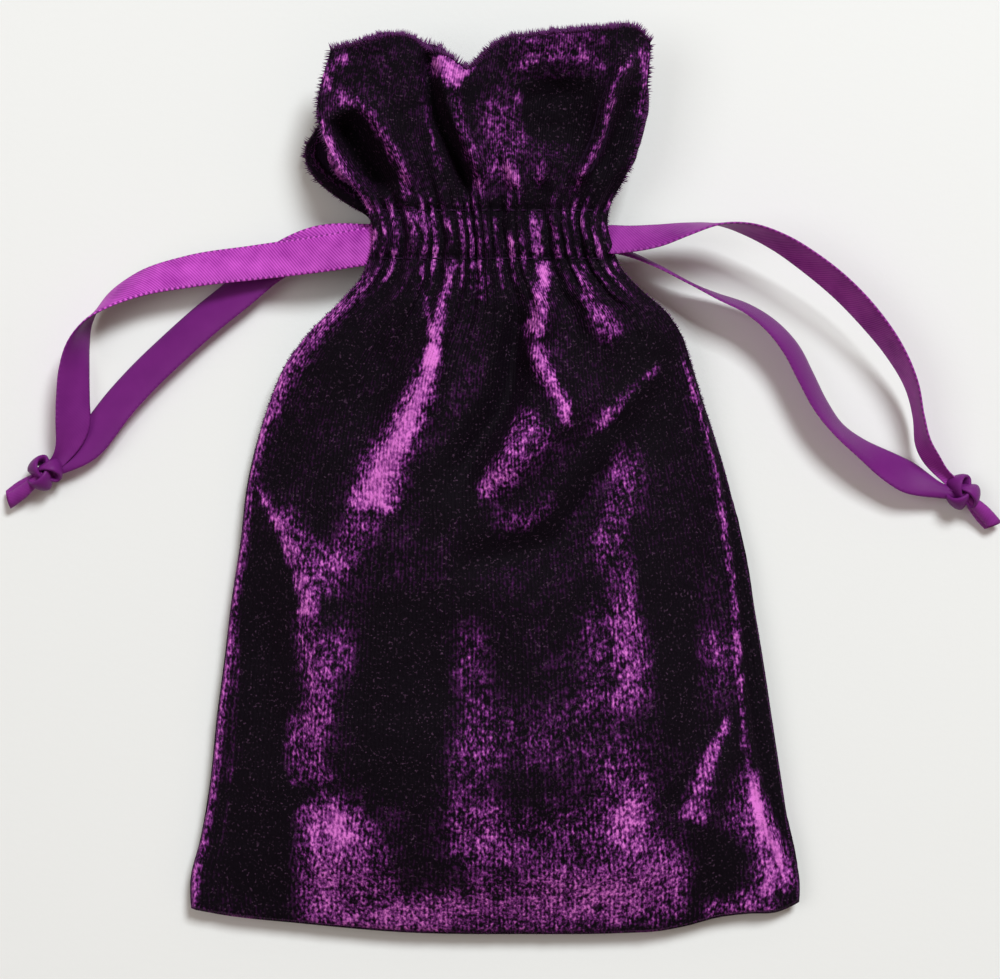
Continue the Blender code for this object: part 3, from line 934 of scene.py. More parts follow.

# Painted highlights (positive heights) and painted shade in creases and hollows (negative heights) on the
# front cloth's body.
BODY_PAINTED_LIGHT = (
    Stroke(((-6.6, 38.0), (-8.6, 31.0), (-10.4, 22.5), (-10.9, 18.6)), 0.85, (0.8, 1.0), 1.0, 0.1),
    Stroke(((-12.2, 34.5), (-11.6, 29.0), (-10.4, 23.0)), 0.5, (0.5, 0.7), 1.0, 0.2),
    Stroke(((-10.2, 23.6), (-11.6, 17.6), (-13.9, 11.9), (-16.2, 7.0), (-18.3, 3.1), (-20.0, -1.5),
            (-20.6, -5.6)),
           1.08, (1.6, 3.8), 1.0, 0.06),
    Stroke(((-20.4, -4.0), (-23.6, -8.6), (-26.2, -12.4), (-29.4, -17.0)), 0.42, (3.6, 3.4), 1.0, 0.2),
    Stroke(((-1.0, 31.0), (-2.6, 20.0), (-7.0, 8.0), (-11.6, -6.0)), 0.06, (3.0, 4.0), 1.0, 0.3),
    Stroke(((3.4, 31.0), (3.0, 22.0), (1.0, 12.6), (-3.8, 4.0), (-8.6, -6.0)), -0.7, (1.8, 3.6), 1.2, 0.15),
    Stroke(((8.4, 38.0), (8.0, 33.0), (7.4, 28.0), (6.1, 24.4)), 0.85, (1.0, 1.9), 1.0, 0.12),
    Stroke(((3.0, 28.4), (4.0, 25.6), (6.4, 23.4)), 0.55, (0.9, 1.4), 1.0, 0.3),
    Stroke(((6.2, 24.4), (7.4, 20.8), (9.6, 16.2), (11.6, 12.8), (11.3, 8.6)), 0.85, (1.5, 1.1), 1.0, 0.12),
    Stroke(((8.2, 11.8), (4.6, 7.6), (1.4, 2.6), (-1.6, -0.6), (-4.8, -2.6)), 0.62, (4.6, 2.4), 1.0, 0.18),
    Stroke(((2.6, 3.8), (-0.6, 0.6), (-4.4, -2.2)), 0.42, (1.9, 1.9), 1.0, 0.3),
    Stroke(((-3.4, -5.4), (3.0, -6.4), (9.6, -5.6), (15.0, 0.0)), 0.36, (2.4, 2.2), 1.0, 0.3),
    Stroke(((-4.0, -12.2), (3.2, -11.4), (10.0, -6.4), (14.6, 0.8), (20.3, 8.8), (27.8, 18.4)), -0.55,
           (1.6, 1.3), 1.0, 0.08),
    Stroke(((14.1, 37.5), (14.8, 34.0), (16.3, 29.4), (19.0, 26.0), (21.2, 23.4)),
           0.55, (0.7, 2.3), 1.0, 0.15),
    Stroke(((28.2, 20.6), (25.5, 17.4), (22.0, 13.9), (19.4, 11.0), (16.6, 8.0)),
           0.60, (0.6, 1.7), 1.0, 0.12),
    Stroke(((25.0, 33.0), (31.0, 26.0), (34.6, 16.0), (36.6, 6.0)), 0.13, (3.0, 3.4), 1.0, 0.3),
    Stroke(((-2.6, 38.0), (-2.0, 29.0)), 0.6, (0.6, 0.8), 1.0, 0.3),
    Stroke(((-40.4, -0.6), (-38.0, -4.9), (-35.9, -9.0), (-34.0, -13.8), (-32.6, -18.0), (-31.7, -23.0)),
           0.82,
           (0.8, 2.2), 0.5, 0.06),
    Stroke(((-37.6, -4.0), (-33.0, -8.6), (-29.8, -14.0), (-28.8, -21.0)), 0.46, (1.6, 3.4), 1.0, 0.15),
    Stroke(((-32.2, -20.0), (-30.9, -28.5), (-29.7, -34.2), (-30.2, -38.8), (-31.6, -44.6)),
           0.66, (2.2, 3.2), 1.0, 0.1),
    Stroke(((-27.6, -22.0), (-26.0, -28.0), (-26.4, -34.0)), 0.34, (2.4, 2.4), 1.0, 0.3),
    Stroke(((-33.8, -38.6), (-34.0, -46.0), (-32.6, -52.0)), 0.42, (1.9, 1.9), 1.0, 0.2),
    Stroke(((-31.4, -43.0), (-30.0, -48.6), (-27.8, -52.4)), 0.5, (2.0, 2.2), 1.0, 0.2),
    Stroke(((-29.6, -52.0), (-28.4, -60.0), (-28.2, -67.0), (-27.6, -78.0)), 0.74, (3.6, 5.4), 1.0, 0.1),
    Stroke(((-27.0, -54.0), (-22.6, -61.0), (-20.0, -70.0), (-19.0, -78.0)), 0.52, (3.0, 4.4), 1.0, 0.1),
    Stroke(((-4.6, -20.0), (-4.2, -36.0), (-3.6, -52.0), (-2.0, -66.0)), 0.30, (2.4, 6.4), 1.0, 0.15),
    Stroke(((21.6, 8.0), (21.8, -3.0), (19.6, -9.0), (21.6, -20.0), (23.4, -32.0), (24.0, -40.0)), 0.38,
           (3.2, 2.4), 1.0, 0.12),
    Stroke(((16.4, -18.0), (19.0, -30.0), (20.4, -42.0)), 0.34, (3.6, 6.4), 1.0, 0.2),
    Stroke(((21.8, -6.0), (23.4, -24.0), (24.4, -38.0)), 0.16, (1.4, 1.5), 1.0, 0.2),
    Stroke(((33.0, -24.0), (38.0, -30.0), (34.6, -40.0)), 0.28, (3.2, 3.2), 1.0, 0.3),
    Stroke(((30.6, -16.0), (31.0, -36.0), (31.8, -46.0)), -0.2, (2.6, 2.4), 1.0, 0.2),
    Stroke(((-8.0, -40.0), (6.0, -44.0), (24.0, -48.0), (34.0, -54.0)), 0.20, (6.0, 7.0), 1.0, 0.3),
    Stroke(((19.0, -44.0), (22.0, -52.0), (24.0, -60.0)), 0.24, (3.4, 4.0), 1.0, 0.25),
    Stroke(((-19.0, -74.0), (0.0, -72.0), (20.0, -70.0), (34.0, -70.0)), 0.62, (3.6, 6.0), 1.0, 0.08),
    Stroke(((-10.0, -62.0), (10.0, -60.6), (30.0, -58.0)), 0.40, (5.6, 7.4), 1.0, 0.2),
    Stroke(((42.0, -46.0), (42.4, -54.0), (40.0, -62.0)), 0.32, (2.4, 3.6), 1.0, 0.2),
    Stroke(((18.0, -56.0), (26.0, -62.0), (32.4, -70.0)), 0.24, (3.6, 4.6), 1.0, 0.25),
    Stroke(((40.0, -38.8), (38.1, -42.2), (36.9, -44.8), (35.2, -48.8), (34.1, -52.4), (32.4, -58.0)), 0.80,
           (0.6, 2.5), 0.8, 0.1),
    Stroke(((43.0, -50.6), (45.2, -57.6), (47.0, -64.0), (47.6, -70.0)), 0.72, (1.0, 3.8), 1.0, 0.1),
    Stroke(((33.6, -73.6), (40.0, -71.4), (48.0, -69.4)), 0.52, (1.9, 2.4), 1.0, 0.15),
    Stroke(((38.6, -58.0), (38.4, -64.0), (36.4, -70.0)), -0.22, (2.6, 2.8), 1.0, 0.2),
    Stroke(((31.0, 22.0), (33.8, 14.4), (35.2, 8.8), (36.9, 2.0), (38.3, -6.1), (39.8, -16.4), (40.4, -22.7),
            (41.0, -30.0), (41.4, -37.0), (41.9, -43.0), (43.2, -49.7), (44.9, -56.5), (47.2, -61.9),
            (49.5, -67.4)), 0.62, (0.5, 0.6), 1.0, 0.05),
    Stroke(((35.4, 18.0), (38.0, 5.0), (41.4, -13.1), (43.2, -32.0), (46.4, -50.0), (49.6, -62.0)), -0.3,
           (1.2, 1.6), 1.0, 0.06),
    Stroke(((-43.2, -22.0), (-44.2, -44.0), (-45.9, -62.0)), 0.24, (0.4, 0.4), 1.0, 0.1),
    Stroke(((-38.6, -12.0), (-39.0, -36.0), (-39.6, -72.0)), -0.3, (3.0, 4.6), 1.0, 0.1),
    Stroke(((-15.0, -14.0), (-15.6, -34.0), (-16.0, -56.0)), -0.2, (7.0, 5.0), 1.0, 0.2),
)
# Painted highlights (positive heights) and painted shade in creases and hollows (negative heights) on the
# front ruffle.
RUFFLE_PAINTED_LIGHT = (
    Stroke(((-27.8, 71.4), (-24.0, 70.4)), 0.55, (1.2, 1.2), 1.0, 0.4),
    Stroke(((-28.0, 71.6), (-29.2, 65.6)), 0.50, (1.3, 1.8), 1.0, 0.3),
    Stroke(((-29.6, 61.6), (-27.2, 54.9), (-23.9, 49.5), (-20.5, 44.7)), 0.72, (0.9, 1.0), 1.0, 0.1),
    Stroke(((-26.0, 63.2), (-22.6, 57.5), (-19.2, 52.8), (-16.8, 48.4)), -0.7, (3.2, 1.6), 1.0, 0.12),
    Stroke(((-27.6, 65.4), (-22.4, 62.6), (-18.2, 56.9), (-15.8, 52.1), (-14.6, 47.4)),
           0.56, (1.4, 0.9), 1.0, 0.1),
    Stroke(((-12.5, 70.5), (-11.4, 62.3), (-8.8, 50.8)), 0.30, (0.6, 0.6), 1.0, 0.2),
    Stroke(((-11.2, 68.6), (-8.4, 60.2), (-5.7, 52.8), (-4.4, 47.6)), -0.5, (1.6, 2.0), 1.0, 0.12),
    Stroke(((-10.4, 71.8), (-7.8, 69.6), (-4.4, 67.6)), 1.15, (2.0, 2.6), 1.0, 0.12),
    Stroke(((-7.8, 66.0), (-5.6, 58.2), (-3.6, 52.8), (-2.2, 47.6)), 0.44, (1.5, 1.1), 1.0, 0.12),
    Stroke(((-2.2, 66.6), (0.5, 57.5), (1.8, 48.4)), 0.22, (4.2, 2.4), 1.0, 0.2),
    Stroke(((2.0, 54.6), (3.0, 51.2), (4.0, 47.6)), 0.66, (0.9, 0.9), 1.0, 0.25),
    Stroke(((3.0, 69.2), (8.5, 71.8), (15.3, 71.4), (19.6, 69.2)), 0.34, (1.0, 1.2), 1.0, 0.15),
    Stroke(((2.0, 73.6), (12.0, 74.6), (23.0, 74.6)), 0.20, (2.0, 2.0), 1.0, 0.2),
    Stroke(((4.4, 67.6), (3.6, 60.2), (4.6, 55.0)), 0.20, (0.9, 0.9), 1.0, 0.2),
    Stroke(((10.4, 68.0), (10.9, 62.5), (9.8, 57.0)), -0.7, (5.2, 4.6), 1.0, 0.1),
    Stroke(((8.6, 54.4), (6.2, 48.8)), 0.40, (1.0, 1.0), 1.0, 0.3),
    Stroke(((24.2, 72.6), (20.5, 67.6), (19.0, 61.6), (17.3, 56.2), (14.6, 51.5), (12.4, 47.8)), 0.62,
           (0.6, 0.6), 1.0, 0.1),
    Stroke(((22.4, 67.0), (20.9, 57.5), (18.4, 50.0)), -0.35, (1.6, 1.6), 1.0, 0.12),
    Stroke(((25.2, 74.0), (25.2, 67.6), (23.8, 60.2)), 0.42, (0.9, 0.7), 1.0, 0.15),
    Stroke(((-15.0, 46.0), (-9.0, 42.0)), 0.40, (1.0, 1.0), 1.0, 0.3),
    Stroke(((7.6, 46.0), (6.8, 41.0), (7.4, 37.0)), 0.5, (0.9, 0.9), 1.0, 0.25),
    Stroke(((-0.6, 47.6), (1.2, 44.6), (3.4, 43.2)), -0.8, (1.8, 1.8), 1.0, 0.2),
)


class Face(Enum):
    """Which of the pouch's two cloths is meant."""

    FRONT = 1
    BACK = -1


@dataclass(frozen=True)
class Trim:
    """The loose fibres along one edge of a cloth.

    Attributes:
        edge: The edge's place in the grid.
        count: How many fibres.
        reach: Their length.
        spread: How far they lean along the edge.
    """

    edge: tuple[int | slice, int | slice]
    count: int
    reach: float
    spread: float


TRIMS = (
    Trim(np.s_[-1, :], 2600, 1.55, 0.4),
    Trim(np.s_[0, ::-1], 1600, 0.55, 0.7),
    Trim(np.s_[:, 0], 3400, 0.5, 0.6),
    Trim(np.s_[::-1, -1], 3400, 0.5, 0.6),
)


def ruffled(y: Array) -> Array:
    """How far up the free ruffle a place is: eased from 0 at its start to 1 nine millimetres on."""
    return smooth((y - RUFFLE_START) / 9)


@dataclass
class Pouch:
    """The velvet: a front and a back cloth, each one sheet from the bottom seam to the ruffle.

    Attributes:
        columns: Grid columns of a cloth.
        rows: Grid rows of a cloth.
        dense_from: The share of the length above which the rows are closer together.
        wall: Thickness of the velvet.
        hem: Thickness of the ruffle, which is hemmed and so double.
        crest: Height of the body's middle.
        neck_top: Height of the neck's front.
        seam: Height of the side seams above the table.
        cut: Width and length of each cloth before sewing.
        velvet: What the cloths are made of.
        pile: What their fringes are made of.
        kept: The two shells, once they are made.
    """

    columns: int = 204
    rows: int = 232
    dense_from: float = 0.62
    wall: float = 1.2
    hem: float = 2.0
    crest: float = 15.4
    neck_top: float = 12.6
    seam: float = 3.0
    cut: tuple[float, float] = (104.0, 152.0)
    velvet: bpy.types.Material = field(default_factory=lambda: VelvetFinish().material("velvet"))
    pile: bpy.types.Material = field(default_factory=lambda: PileFinish().material("pile"))
    kept: dict[Face, tuple[Shell, Array]] = field(default_factory=dict)

    def levels(self) -> Array:
        """Rows' parameters, 0 to 1, by a density with an eased step from 1 to 2.1 at dense_from."""
        fine = np.linspace(0, 1, 2000)
        density = 1 + 1.1 * smooth((fine - self.dense_from) / 0.06)
        total = np.concatenate([[0], np.cumsum((density[1:] + density[:-1]) / 2)])
        return np.interp(np.linspace(0, total[-1], self.rows), total, fine)

    def spread(self, face: Face) -> tuple[Array, Array, Array, Array]:
        """The grid in the plane: x = left(y) + (u + 1) / 2 * (right(y) - left(y)), y from v.

        Args:
            face: The front or the back cloth.

        Returns:
            u, v, x and y, each rows by columns.
        """
        front = face is Face.FRONT
        u, v = np.meshgrid(np.linspace(-1, 1, self.columns), self.levels())
        bottom = table(BOTTOM_EDGE, u)
        top = table(TOP_EDGE if front else BACK_TOP_EDGE, u)
        y = bottom + v * (top - bottom)
        left = table(LEFT_EDGE if front else BACK_LEFT_EDGE, y)
        right = table(RIGHT_EDGE if front else BACK_RIGHT_EDGE, y)
        return u, v, left + (u + 1) / 2 * (right - left), y

    @staticmethod
    def gathers(u: Array, y: Array) -> tuple[Array, Array]:
        """Pleats drawn in by the stitch rows.

        The fine ones go as |cos(10.3 pi w)| and the broad ones as cos(6.8 pi w), where w is u with a
        slow wobble. Both fade away from the neck as exp(-(distance / reach)^2).

        Args:
            u: Place across the cloth, -1 to 1.
            y: Place along it.

        Returns:
            Their height, and how near each place is to a fine crest, 0 to 1.
        """
        w = u + 0.034 * np.sin(6.1 * u + 0.8) + 0.016 * np.sin(15.7 * u + 2.1)
        w = w + 0.012 * np.sin(9 * u) * np.sin(y / 5.0) + 0.009 * waves(25 * u, y, 7.0, 51, 2)
        crest = np.abs(np.cos(math.pi * 10.3 * w + 0.35 * np.sin(4.4 * u + 1)))
        low, high = np.clip(40.5 - y, 0, None), np.clip(y - 43.0, 0, None)
        fine = np.exp(-((low / 13.5) ** 2) - (high / 8.5) ** 2)
        broad = np.exp(-((low / 17.0) ** 2) - (high / 9.0) ** 2)
        uneven = 0.8 + 0.3 * np.sin(7.3 * u + 0.4) * np.cos(17.0 * u)
        height = fine * uneven * (1.7 * crest - 1.05) * 0.72
        height += broad * 0.85 * np.cos(2 * math.pi * 3.4 * w + 0.7)
        return height, crest * fine

    @staticmethod
    def painted_glints(u: Array, y: Array, crests: Array) -> Array:
        """Painted highlights on the fine pleats' crests, broken along and across by uneven ground.

        Args:
            u: Place across, -1 to 1.
            y: Place along.
            crests: How near a crest each place is.

        Returns:
            What the painted light gains.
        """
        broken = smooth(0.42 + 0.75 * waves(25 * u, y, 6.5, 52, 3))
        return 0.82 * smooth((crests - 0.5) / 0.42) * (0.16 + 0.84 * broken)

    @staticmethod
    def rim(u: Array, y: Array) -> Array:
        """Painted highlight that hugs the front's left edge, wider at the shoulder: exp(-(distance /
        reach)^2).

        Args:
            u: Place across, -1 to 1.
            y: Place along.

        Returns:
            What the painted light gains.
        """
        distance = (1 + u) * 0.5 * (table(RIGHT_EDGE, y) - table(LEFT_EDGE, y))
        reach = 1.0 + 2.0 * smooth((y - 2) / 20)
        share = (0.72 + 0.12 * smooth((y + 12) / 14)) * smooth((38 - y) / 8)
        return share * np.exp(-((distance / reach) ** 2))

    @staticmethod
    def pinch(y: Array) -> Array:
        """The two stitch rows' grooves, each -exp(-(distance / 0.9)^2), and the swell between."""
        grooves = sum(np.exp(-(((y - row) / 0.9) ** 2)) for row in STITCH_ROWS)
        middle = sum(STITCH_ROWS) / 2
        return 0.35 * np.exp(-(((y - middle) / 2.6) ** 2)) - 0.62 * grooves

    def rise(self, u: Array, v: Array, y: Array) -> tuple[Array, Array]:
        """The pillow: (1 - |u|^n) across times 1 - (1 - t)^2.2 up from the bottom seam.

        Args:
            u: Place across, -1 to 1.
            v: Place along, 0 to 1.
            y: Place along in millimetres.

        Returns:
            The pillow, 0 to 1, and the height of its side edges.
        """
        power = 2.3 + 2.5 * smooth((y - 8) / 30) + 5 * ruffled(y)
        across = 1 - np.abs(u) ** power
        along = 1 - (1 - np.clip(v / 0.24, 0, 1)) ** 2.2
        edge = self.seam + (7.0 - self.seam) * smooth((y - 4) / 32)
        return across * along, edge

    def walls(self, y: Array) -> Array:
        """The cloth's thickness: wall, eased to hem over the ruffle's first four millimetres."""
        return self.wall + (self.hem - self.wall) * smooth((y - RUFFLE_START) / 4)

    def front(self) -> tuple[Shell, Array]:
        """The front cloth: edge + (top - edge) * pillow + folds + gathers + crushed ground.

        Returns:
            The shell, and its y before the sight line moved it.
        """
        u, v, x, y = self.spread(Face.FRONT)
        pillow, edge = self.rise(u, v, y)
        ruffle = ruffled(y)
        edge = edge + self.wall * 0.8 + 1.2 * smooth((y - 35) / 4) + 3.6 * ruffle
        top = self.crest + (self.neck_top - self.crest) * smooth((y + 8) / 44)
        top = top + 2.6 * smooth((y - 47) / 24)
        inside = smooth(np.minimum((1 - np.abs(u)) * 12, v * 14))
        pleats, crests = self.gathers(u, y)
        z = edge + (top - edge) * pillow
        z += strokes_at(FOLDS, x, y) * inside * (1 - ruffle)
        z += strokes_at(SEAM_FOLD, x, y)
        z += strokes_at(RUFFLE_FOLDS, x, y) * smooth((y - 45) / 7)
        z += (pleats + self.pinch(y)) * (0.35 + 0.65 * inside)
        z += waves(x, y, 14.0, 5) * 0.16 * inside + waves(x, y, 3.4, 8, 2) * 0.05
        ragged_x, ragged_y = x + 0.4 * waves(x, y, 3.2, 31, 2), y + 0.4 * waves(x, y, 3.2, 32, 2)
        # Painted highlights and painted shade: the strokes, glints on the fine pleats' crests and the
        # highlight along the left edge, over a faint uneven painted light that is brighter on the ruffle.
        painted_shine = strokes_at(BODY_PAINTED_LIGHT + RUFFLE_PAINTED_LIGHT, ragged_x, ragged_y, 2.6)
        painted_shine += self.painted_glints(u, y, crests) + self.rim(u, y)
        painted_shine += 0.01 + 0.09 * waves(x, y, 30.0, 41) + 0.07 * smooth((y - 44) / 8)
        marks = {"painted_light": painted_shine, "wale": (u + 1) / 2 * self.cut[0]}
        shell = Shell(sight_line(np.stack([x, y, z], axis=-1)), self.walls(y), marks)
        return shell, y

    def back(self) -> tuple[Shell, Array]:
        """The back cloth, which lies flat: edge - (edge - level) * pillow - gathers.

        Returns:
            The shell, its grid mirrored so that it faces down, and its y.
        """
        u, v, x, y = self.spread(Face.BACK)
        pillow, edge = self.rise(u, v, y)
        ruffle = ruffled(y)
        edge = edge - self.wall * 0.8 - 1.2 * smooth((y - 35) / 4) - 2.9 * ruffle
        level = 2.1 * smooth((y - 14) / 22) * (1 - 0.75 * ruffle)
        pleats, crests = self.gathers(-u, y)
        z = edge + (level - edge) * np.clip(pillow * 2.4, 0, 1) ** 0.8
        z -= pleats * 0.75 + self.pinch(y) * 0.8
        z += 0.35 * ruffle * (1 + np.cos(9 * u + 1))
        z = np.maximum(z, 0.02 + 0.05 * (1 + waves(x, y, 8.0, 3)))
        # Painted light on the back: an uneven painted highlight with glints on the pleats' crests, lowered
        # at the side edges and on the ruffle as painted shade.
        painted_shine = 0.16 + 0.5 * waves(x, y, 38.0, 14) + self.painted_glints(u, y, crests)
        painted_shine -= 0.3 * smooth((np.abs(u) - 0.9) / 0.06) + 0.25 * ruffle
        marks = {"painted_light": painted_shine, "wale": (u + 1) / 2 * self.cut[0]}
        points = sight_line(np.stack([x, y, z], axis=-1))[:, ::-1]
        shell = Shell(points, self.walls(y), {key: mark[:, ::-1] for key, mark in marks.items()})
        return shell, y

    def shell(self, face: Face) -> tuple[Shell, Array]:
        """A cloth's shell and its y, made once.

        Args:
            face: The front or the back cloth.

        Returns:
            The shell and its y.
        """
        if face not in self.kept:
            self.kept[face] = self.front() if face is Face.FRONT else self.back()
        return self.kept[face]

    def fringe(self, name: str, shell: Shell, seed: int) -> bpy.types.Object:
        """Pile fibres round a cloth's edge: thin three-sided spikes, leaning unevenly.

        Each has its base on the rim and its tip at base + length * (out * cos + up * sin), with a
        lean along the edge. They are longest on the ruffle.

        Args:
            name: The object's name.
            shell: The cloth.
            seed: Chooses the fibres.

        Returns:
            The new object.
        """
        rng = np.random.default_rng(seed)
        grid, normals = shell.outer, grid_normals(shell.outer)
        wall = np.broadcast_to(shell.thickness, grid.shape[:2])[..., None]
        bases, tips, radii = [], [], []
        for trim in TRIMS:
            count = trim.count
            line, up, deep = grid[trim.edge], normals[trim.edge], wall[trim.edge]
            walked = np.concatenate([[0], np.cumsum(np.linalg.norm(np.diff(line, axis=0), axis=1))])
            at = np.sort(rng.uniform(0, walked[-1], count))
            pick = np.clip(np.searchsorted(walked, at), 1, len(line) - 1)
            share = ((at - walked[pick - 1]) / (walked[pick] - walked[pick - 1]))[:, None]
            base = line[pick - 1] * (1 - share) + line[pick] * share
            ahead = unit(line[pick] - line[pick - 1])
            rise = unit(up[pick])
            out = unit(np.cross(rise, ahead))
            depth = rng.uniform(0, 1, (count, 1))
            base = base - rise * deep[pick] * depth
            angle = (0.5 - depth) * 1.4 + rng.normal(0, 0.13, (count, 1))
            taller = smooth((base[:, 1:2] - 44) / 8)
            grown = 1 + 1.1 * taller * (trim.reach < 1)
            long = trim.reach * grown * rng.uniform(0.68, 1.08, (count, 1))
            lean = rng.normal(-0.3, 0.25, (count, 1)) * trim.spread
            way = unit(out * np.cos(angle) + rise * np.sin(angle) + ahead * lean)
            bases.append(base - way * 0.15)
            tips.append(base + way * long)
            radii.append(rng.uniform(0.07, 0.12, (count, 1)) * (1 + 0.5 * taller))
        base, tip = np.concatenate(bases), np.concatenate(tips)
        base[:, 2] = np.maximum(base[:, 2], 0.2)
        tip[:, 2] = np.maximum(tip[:, 2], 0.1)
        way = unit(tip - base)
        aside = [0.31, 0.52, 0.79]
        first = unit(np.cross(way, aside))
        second = np.cross(way, first)
        thick = np.concatenate(radii)
        corners = [
            base + (first * math.cos(a) + second * math.sin(a)) * thick
            for a in (0, 2 * math.pi / 3, 4 * math.pi / 3)
        ]
        points = np.stack([*corners, tip], axis=1).reshape(-1, 3)
        start = np.arange(len(base))[:, None] * 4
        pattern = np.array([[0, 1, 3], [1, 2, 3], [2, 0, 3], [2, 1, 0]])
        faces = (start[:, None] + pattern[None]).reshape(-1, 3)
        ends = np.tile([0.0, 0.0, 0.0, 1.0], len(base))
        return make_object(name, points, [faces], self.pile, tip=ends)

    def build(self) -> None:
        """Make both cloths and their fringes."""
        for face, height, seed in ((Face.FRONT, 10.0, 3), (Face.BACK, 2.0, 4)):
            side = face.name.lower()
            shell, _ = self.shell(face)
            cloth = shell.build(f"{side}_velvet", self.velvet)
            fringe = self.fringe(f"{side}_velvet_pile", shell, seed)
            for piece in (cloth, fringe):
                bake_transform(piece)
            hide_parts(f"{side}_panel", f"{side}_casing", f"{side}_header")
            LOG.info("%s: %d faces", cloth.name, len(cloth.data.polygons))


@dataclass
class Stitching:
    """The thread that closes each channel: dashes that lie along its two stitch rows.

    Attributes:
        pouch: The cloths it is sewn through.
        dash: Length of a stitch.
        gap: Distance between two stitches.
        radius: Radius of the thread.
        rings: Rings of a stitch's mesh.
        corners: Corners of each ring.
        margin: Grid columns without stitches at each side.
        thread: What it is made of.
    """

    pouch: Pouch
    dash: float = 1.9
    gap: float = 1.1
    radius: float = 0.17
    rings: int = 7
    corners: int = 6
    margin: int = 8
    thread: bpy.types.Material = field(default_factory=lambda: ThreadFinish().material("thread"))

    def row(self, name: str, line: Array, up: Array) -> bpy.types.Object:
        """Dashes along a line: short tubes that dip into the cloth at both ends.

        Each follows the line at a height of radius * (1.3 sin(pi t) - 0.6), t from 0 to 1 along it,
        and its own radius there is 0.45 + 0.55 sin(pi t) of the thread's.

        Args:
            name: The object's name.
            line: Points on the cloth.
            up: The cloth's normals there.

        Returns:
            The new object.
        """
        walked = np.concatenate([[0], np.cumsum(np.linalg.norm(np.diff(line, axis=0), axis=1))])
        pitch = self.dash + self.gap
        angle = np.arange(self.corners) / self.corners * 2 * math.pi
        profile = np.stack([np.cos(angle), np.sin(angle)], axis=1) * self.radius
        t = np.linspace(0, 1, self.rings)
        points, faces = [], []
        for i in range(int(walked[-1] / pitch)):
            at = i * pitch + self.gap / 2 + t * self.dash
            path = np.stack([np.interp(at, walked, line[:, k]) for k in range(3)], axis=1)
            rise = unit(np.stack([np.interp(at, walked, up[:, k]) for k in range(3)], axis=1))
            path = path + rise * (np.sin(math.pi * t) * 1.3 - 0.6)[:, None] * self.radius
            ahead = unit(np.gradient(path, axis=0))
            across = unit(np.cross(rise, ahead))
            shrink = (0.45 + 0.55 * np.sin(math.pi * t))[:, None, None]
            tube = tube_rings(path, across, np.cross(ahead, across), profile * shrink)
            points.append(tube.reshape(-1, 3))
            faces.append(tube_faces(self.rings, self.corners, i * self.rings * self.corners))
        groups = [np.concatenate([f[k] for f in faces]) for k in range(3)]
        return make_object(name, np.concatenate(points), groups, self.thread)

    def along(self, grid: Array, y: Array, level: float) -> Array:
        """Read a cloth's grid where y crosses a level, by the straight line between two rows.

        Args:
            grid: Rows by columns by three.
            y: The grid's y.
            level: The level.

        Returns:
            One row for each column but those nearest the sides.
        """
        column = np.arange(self.margin, y.shape[1] - self.margin)
        row = (y[:, column] < level).sum(axis=0)
        low, high = y[row - 1, column], y[row, column]
        share = ((level - low) / (high - low))[:, None]
        return grid[row - 1, column] * (1 - share) + grid[row, column] * share

    def build(self) -> None:
        """Make the four rows on the two cloths, and dress the seams' own thread."""
        for face in Face:
            shell, y = self.pouch.shell(face)
            label = face.name.lower()
            normals = grid_normals(shell.outer)
            for place, level in zip(("lower", "upper"), STITCH_ROWS):
                line = self.along(shell.outer, y, level)
                up = unit(self.along(normals, y, level))
                piece = self.row(f"{label}_{place}_stitches", line, up)
                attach(piece, "bag")
                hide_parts(f"{label}_casing_{place}_stitching")
        LOG.info("stitches: four rows")
        for node in ("left_side_stitching", "right_side_stitching", "bottom_stitching"):
            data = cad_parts[node].data
            data.materials.clear()
            data.materials.append(self.thread)


# ---------------------------------------------------------------- the ribbons

LEFT_FRONT: Points = (
    (-9.0, 40.4, 7.6, 0), (-14.0, 40.2, 7.6, 0), (-20.2, 39.8, 7.7, 4), (-29.2, 38.4, 7.0, 12),
    (-40.5, 36.9, 5.0, 20), (-51.6, 35.4, 4.2, 28), (-60.0, 33.2, 4.0, 46), (-65.4, 30.1, 4.1, 68),
    (-68.6, 26.7, 4.2, 94), (-70.2, 22.9, 4.3, 118), (-70.9, 18.6, 4.4, 134), (-71.1, 13.6, 4.4, 142),
    (-71.2, 9.0, 4.3, 150), (-72.6, 5.0, 4.0, 160), (-74.2, 2.9, 3.6, 168), (-75.6, 1.9, 3.3, 174),
)
LEFT_BACK: Points = (
    (-9.0, 40.4, 6.6, 0), (-14.0, 40.2, 6.6, 0), (-20.0, 40.2, 6.0, 4), (-30.3, 39.9, 4.2, 12),
    (-37.5, 36.5, 2.9, 20), (-43.0, 31.9, 2.3, 24), (-49.3, 26.8, 2.1, 24), (-54.2, 22.4, 2.1, 24),
    (-59.4, 17.4, 2.1, 24), (-63.4, 13.0, 2.1, 24), (-66.9, 8.4, 2.2, 22), (-70.2, 4.4, 2.4, 20),
    (-73.0, 2.5, 2.7, 16), (-75.6, 1.6, 2.9, 12),
)
RIGHT_FRONT: Points = (
    (9.0, 41.2, 7.6, 0), (14.0, 41.2, 7.6, -20), (20.6, 40.8, 7.7, -38), (27.2, 41.4, 8.6, -50),
    (32.3, 42.5, 9.2, -66), (37.8, 43.3, 9.6, -86), (42.6, 42.5, 9.6, -103), (47.8, 40.3, 9.4, -113),
    (53.0, 36.9, 9.0, -119), (58.5, 32.4, 8.4, -121), (63.2, 27.4, 7.7, -119), (67.2, 22.0, 7.0, -112),
    (70.0, 16.4, 6.2, -103), (71.3, 10.8, 5.3, -98), (72.2, 6.2, 4.7, -108), (74.6, 2.2, 3.9, -132),
    (77.4, -0.6, 3.5, -150),
)
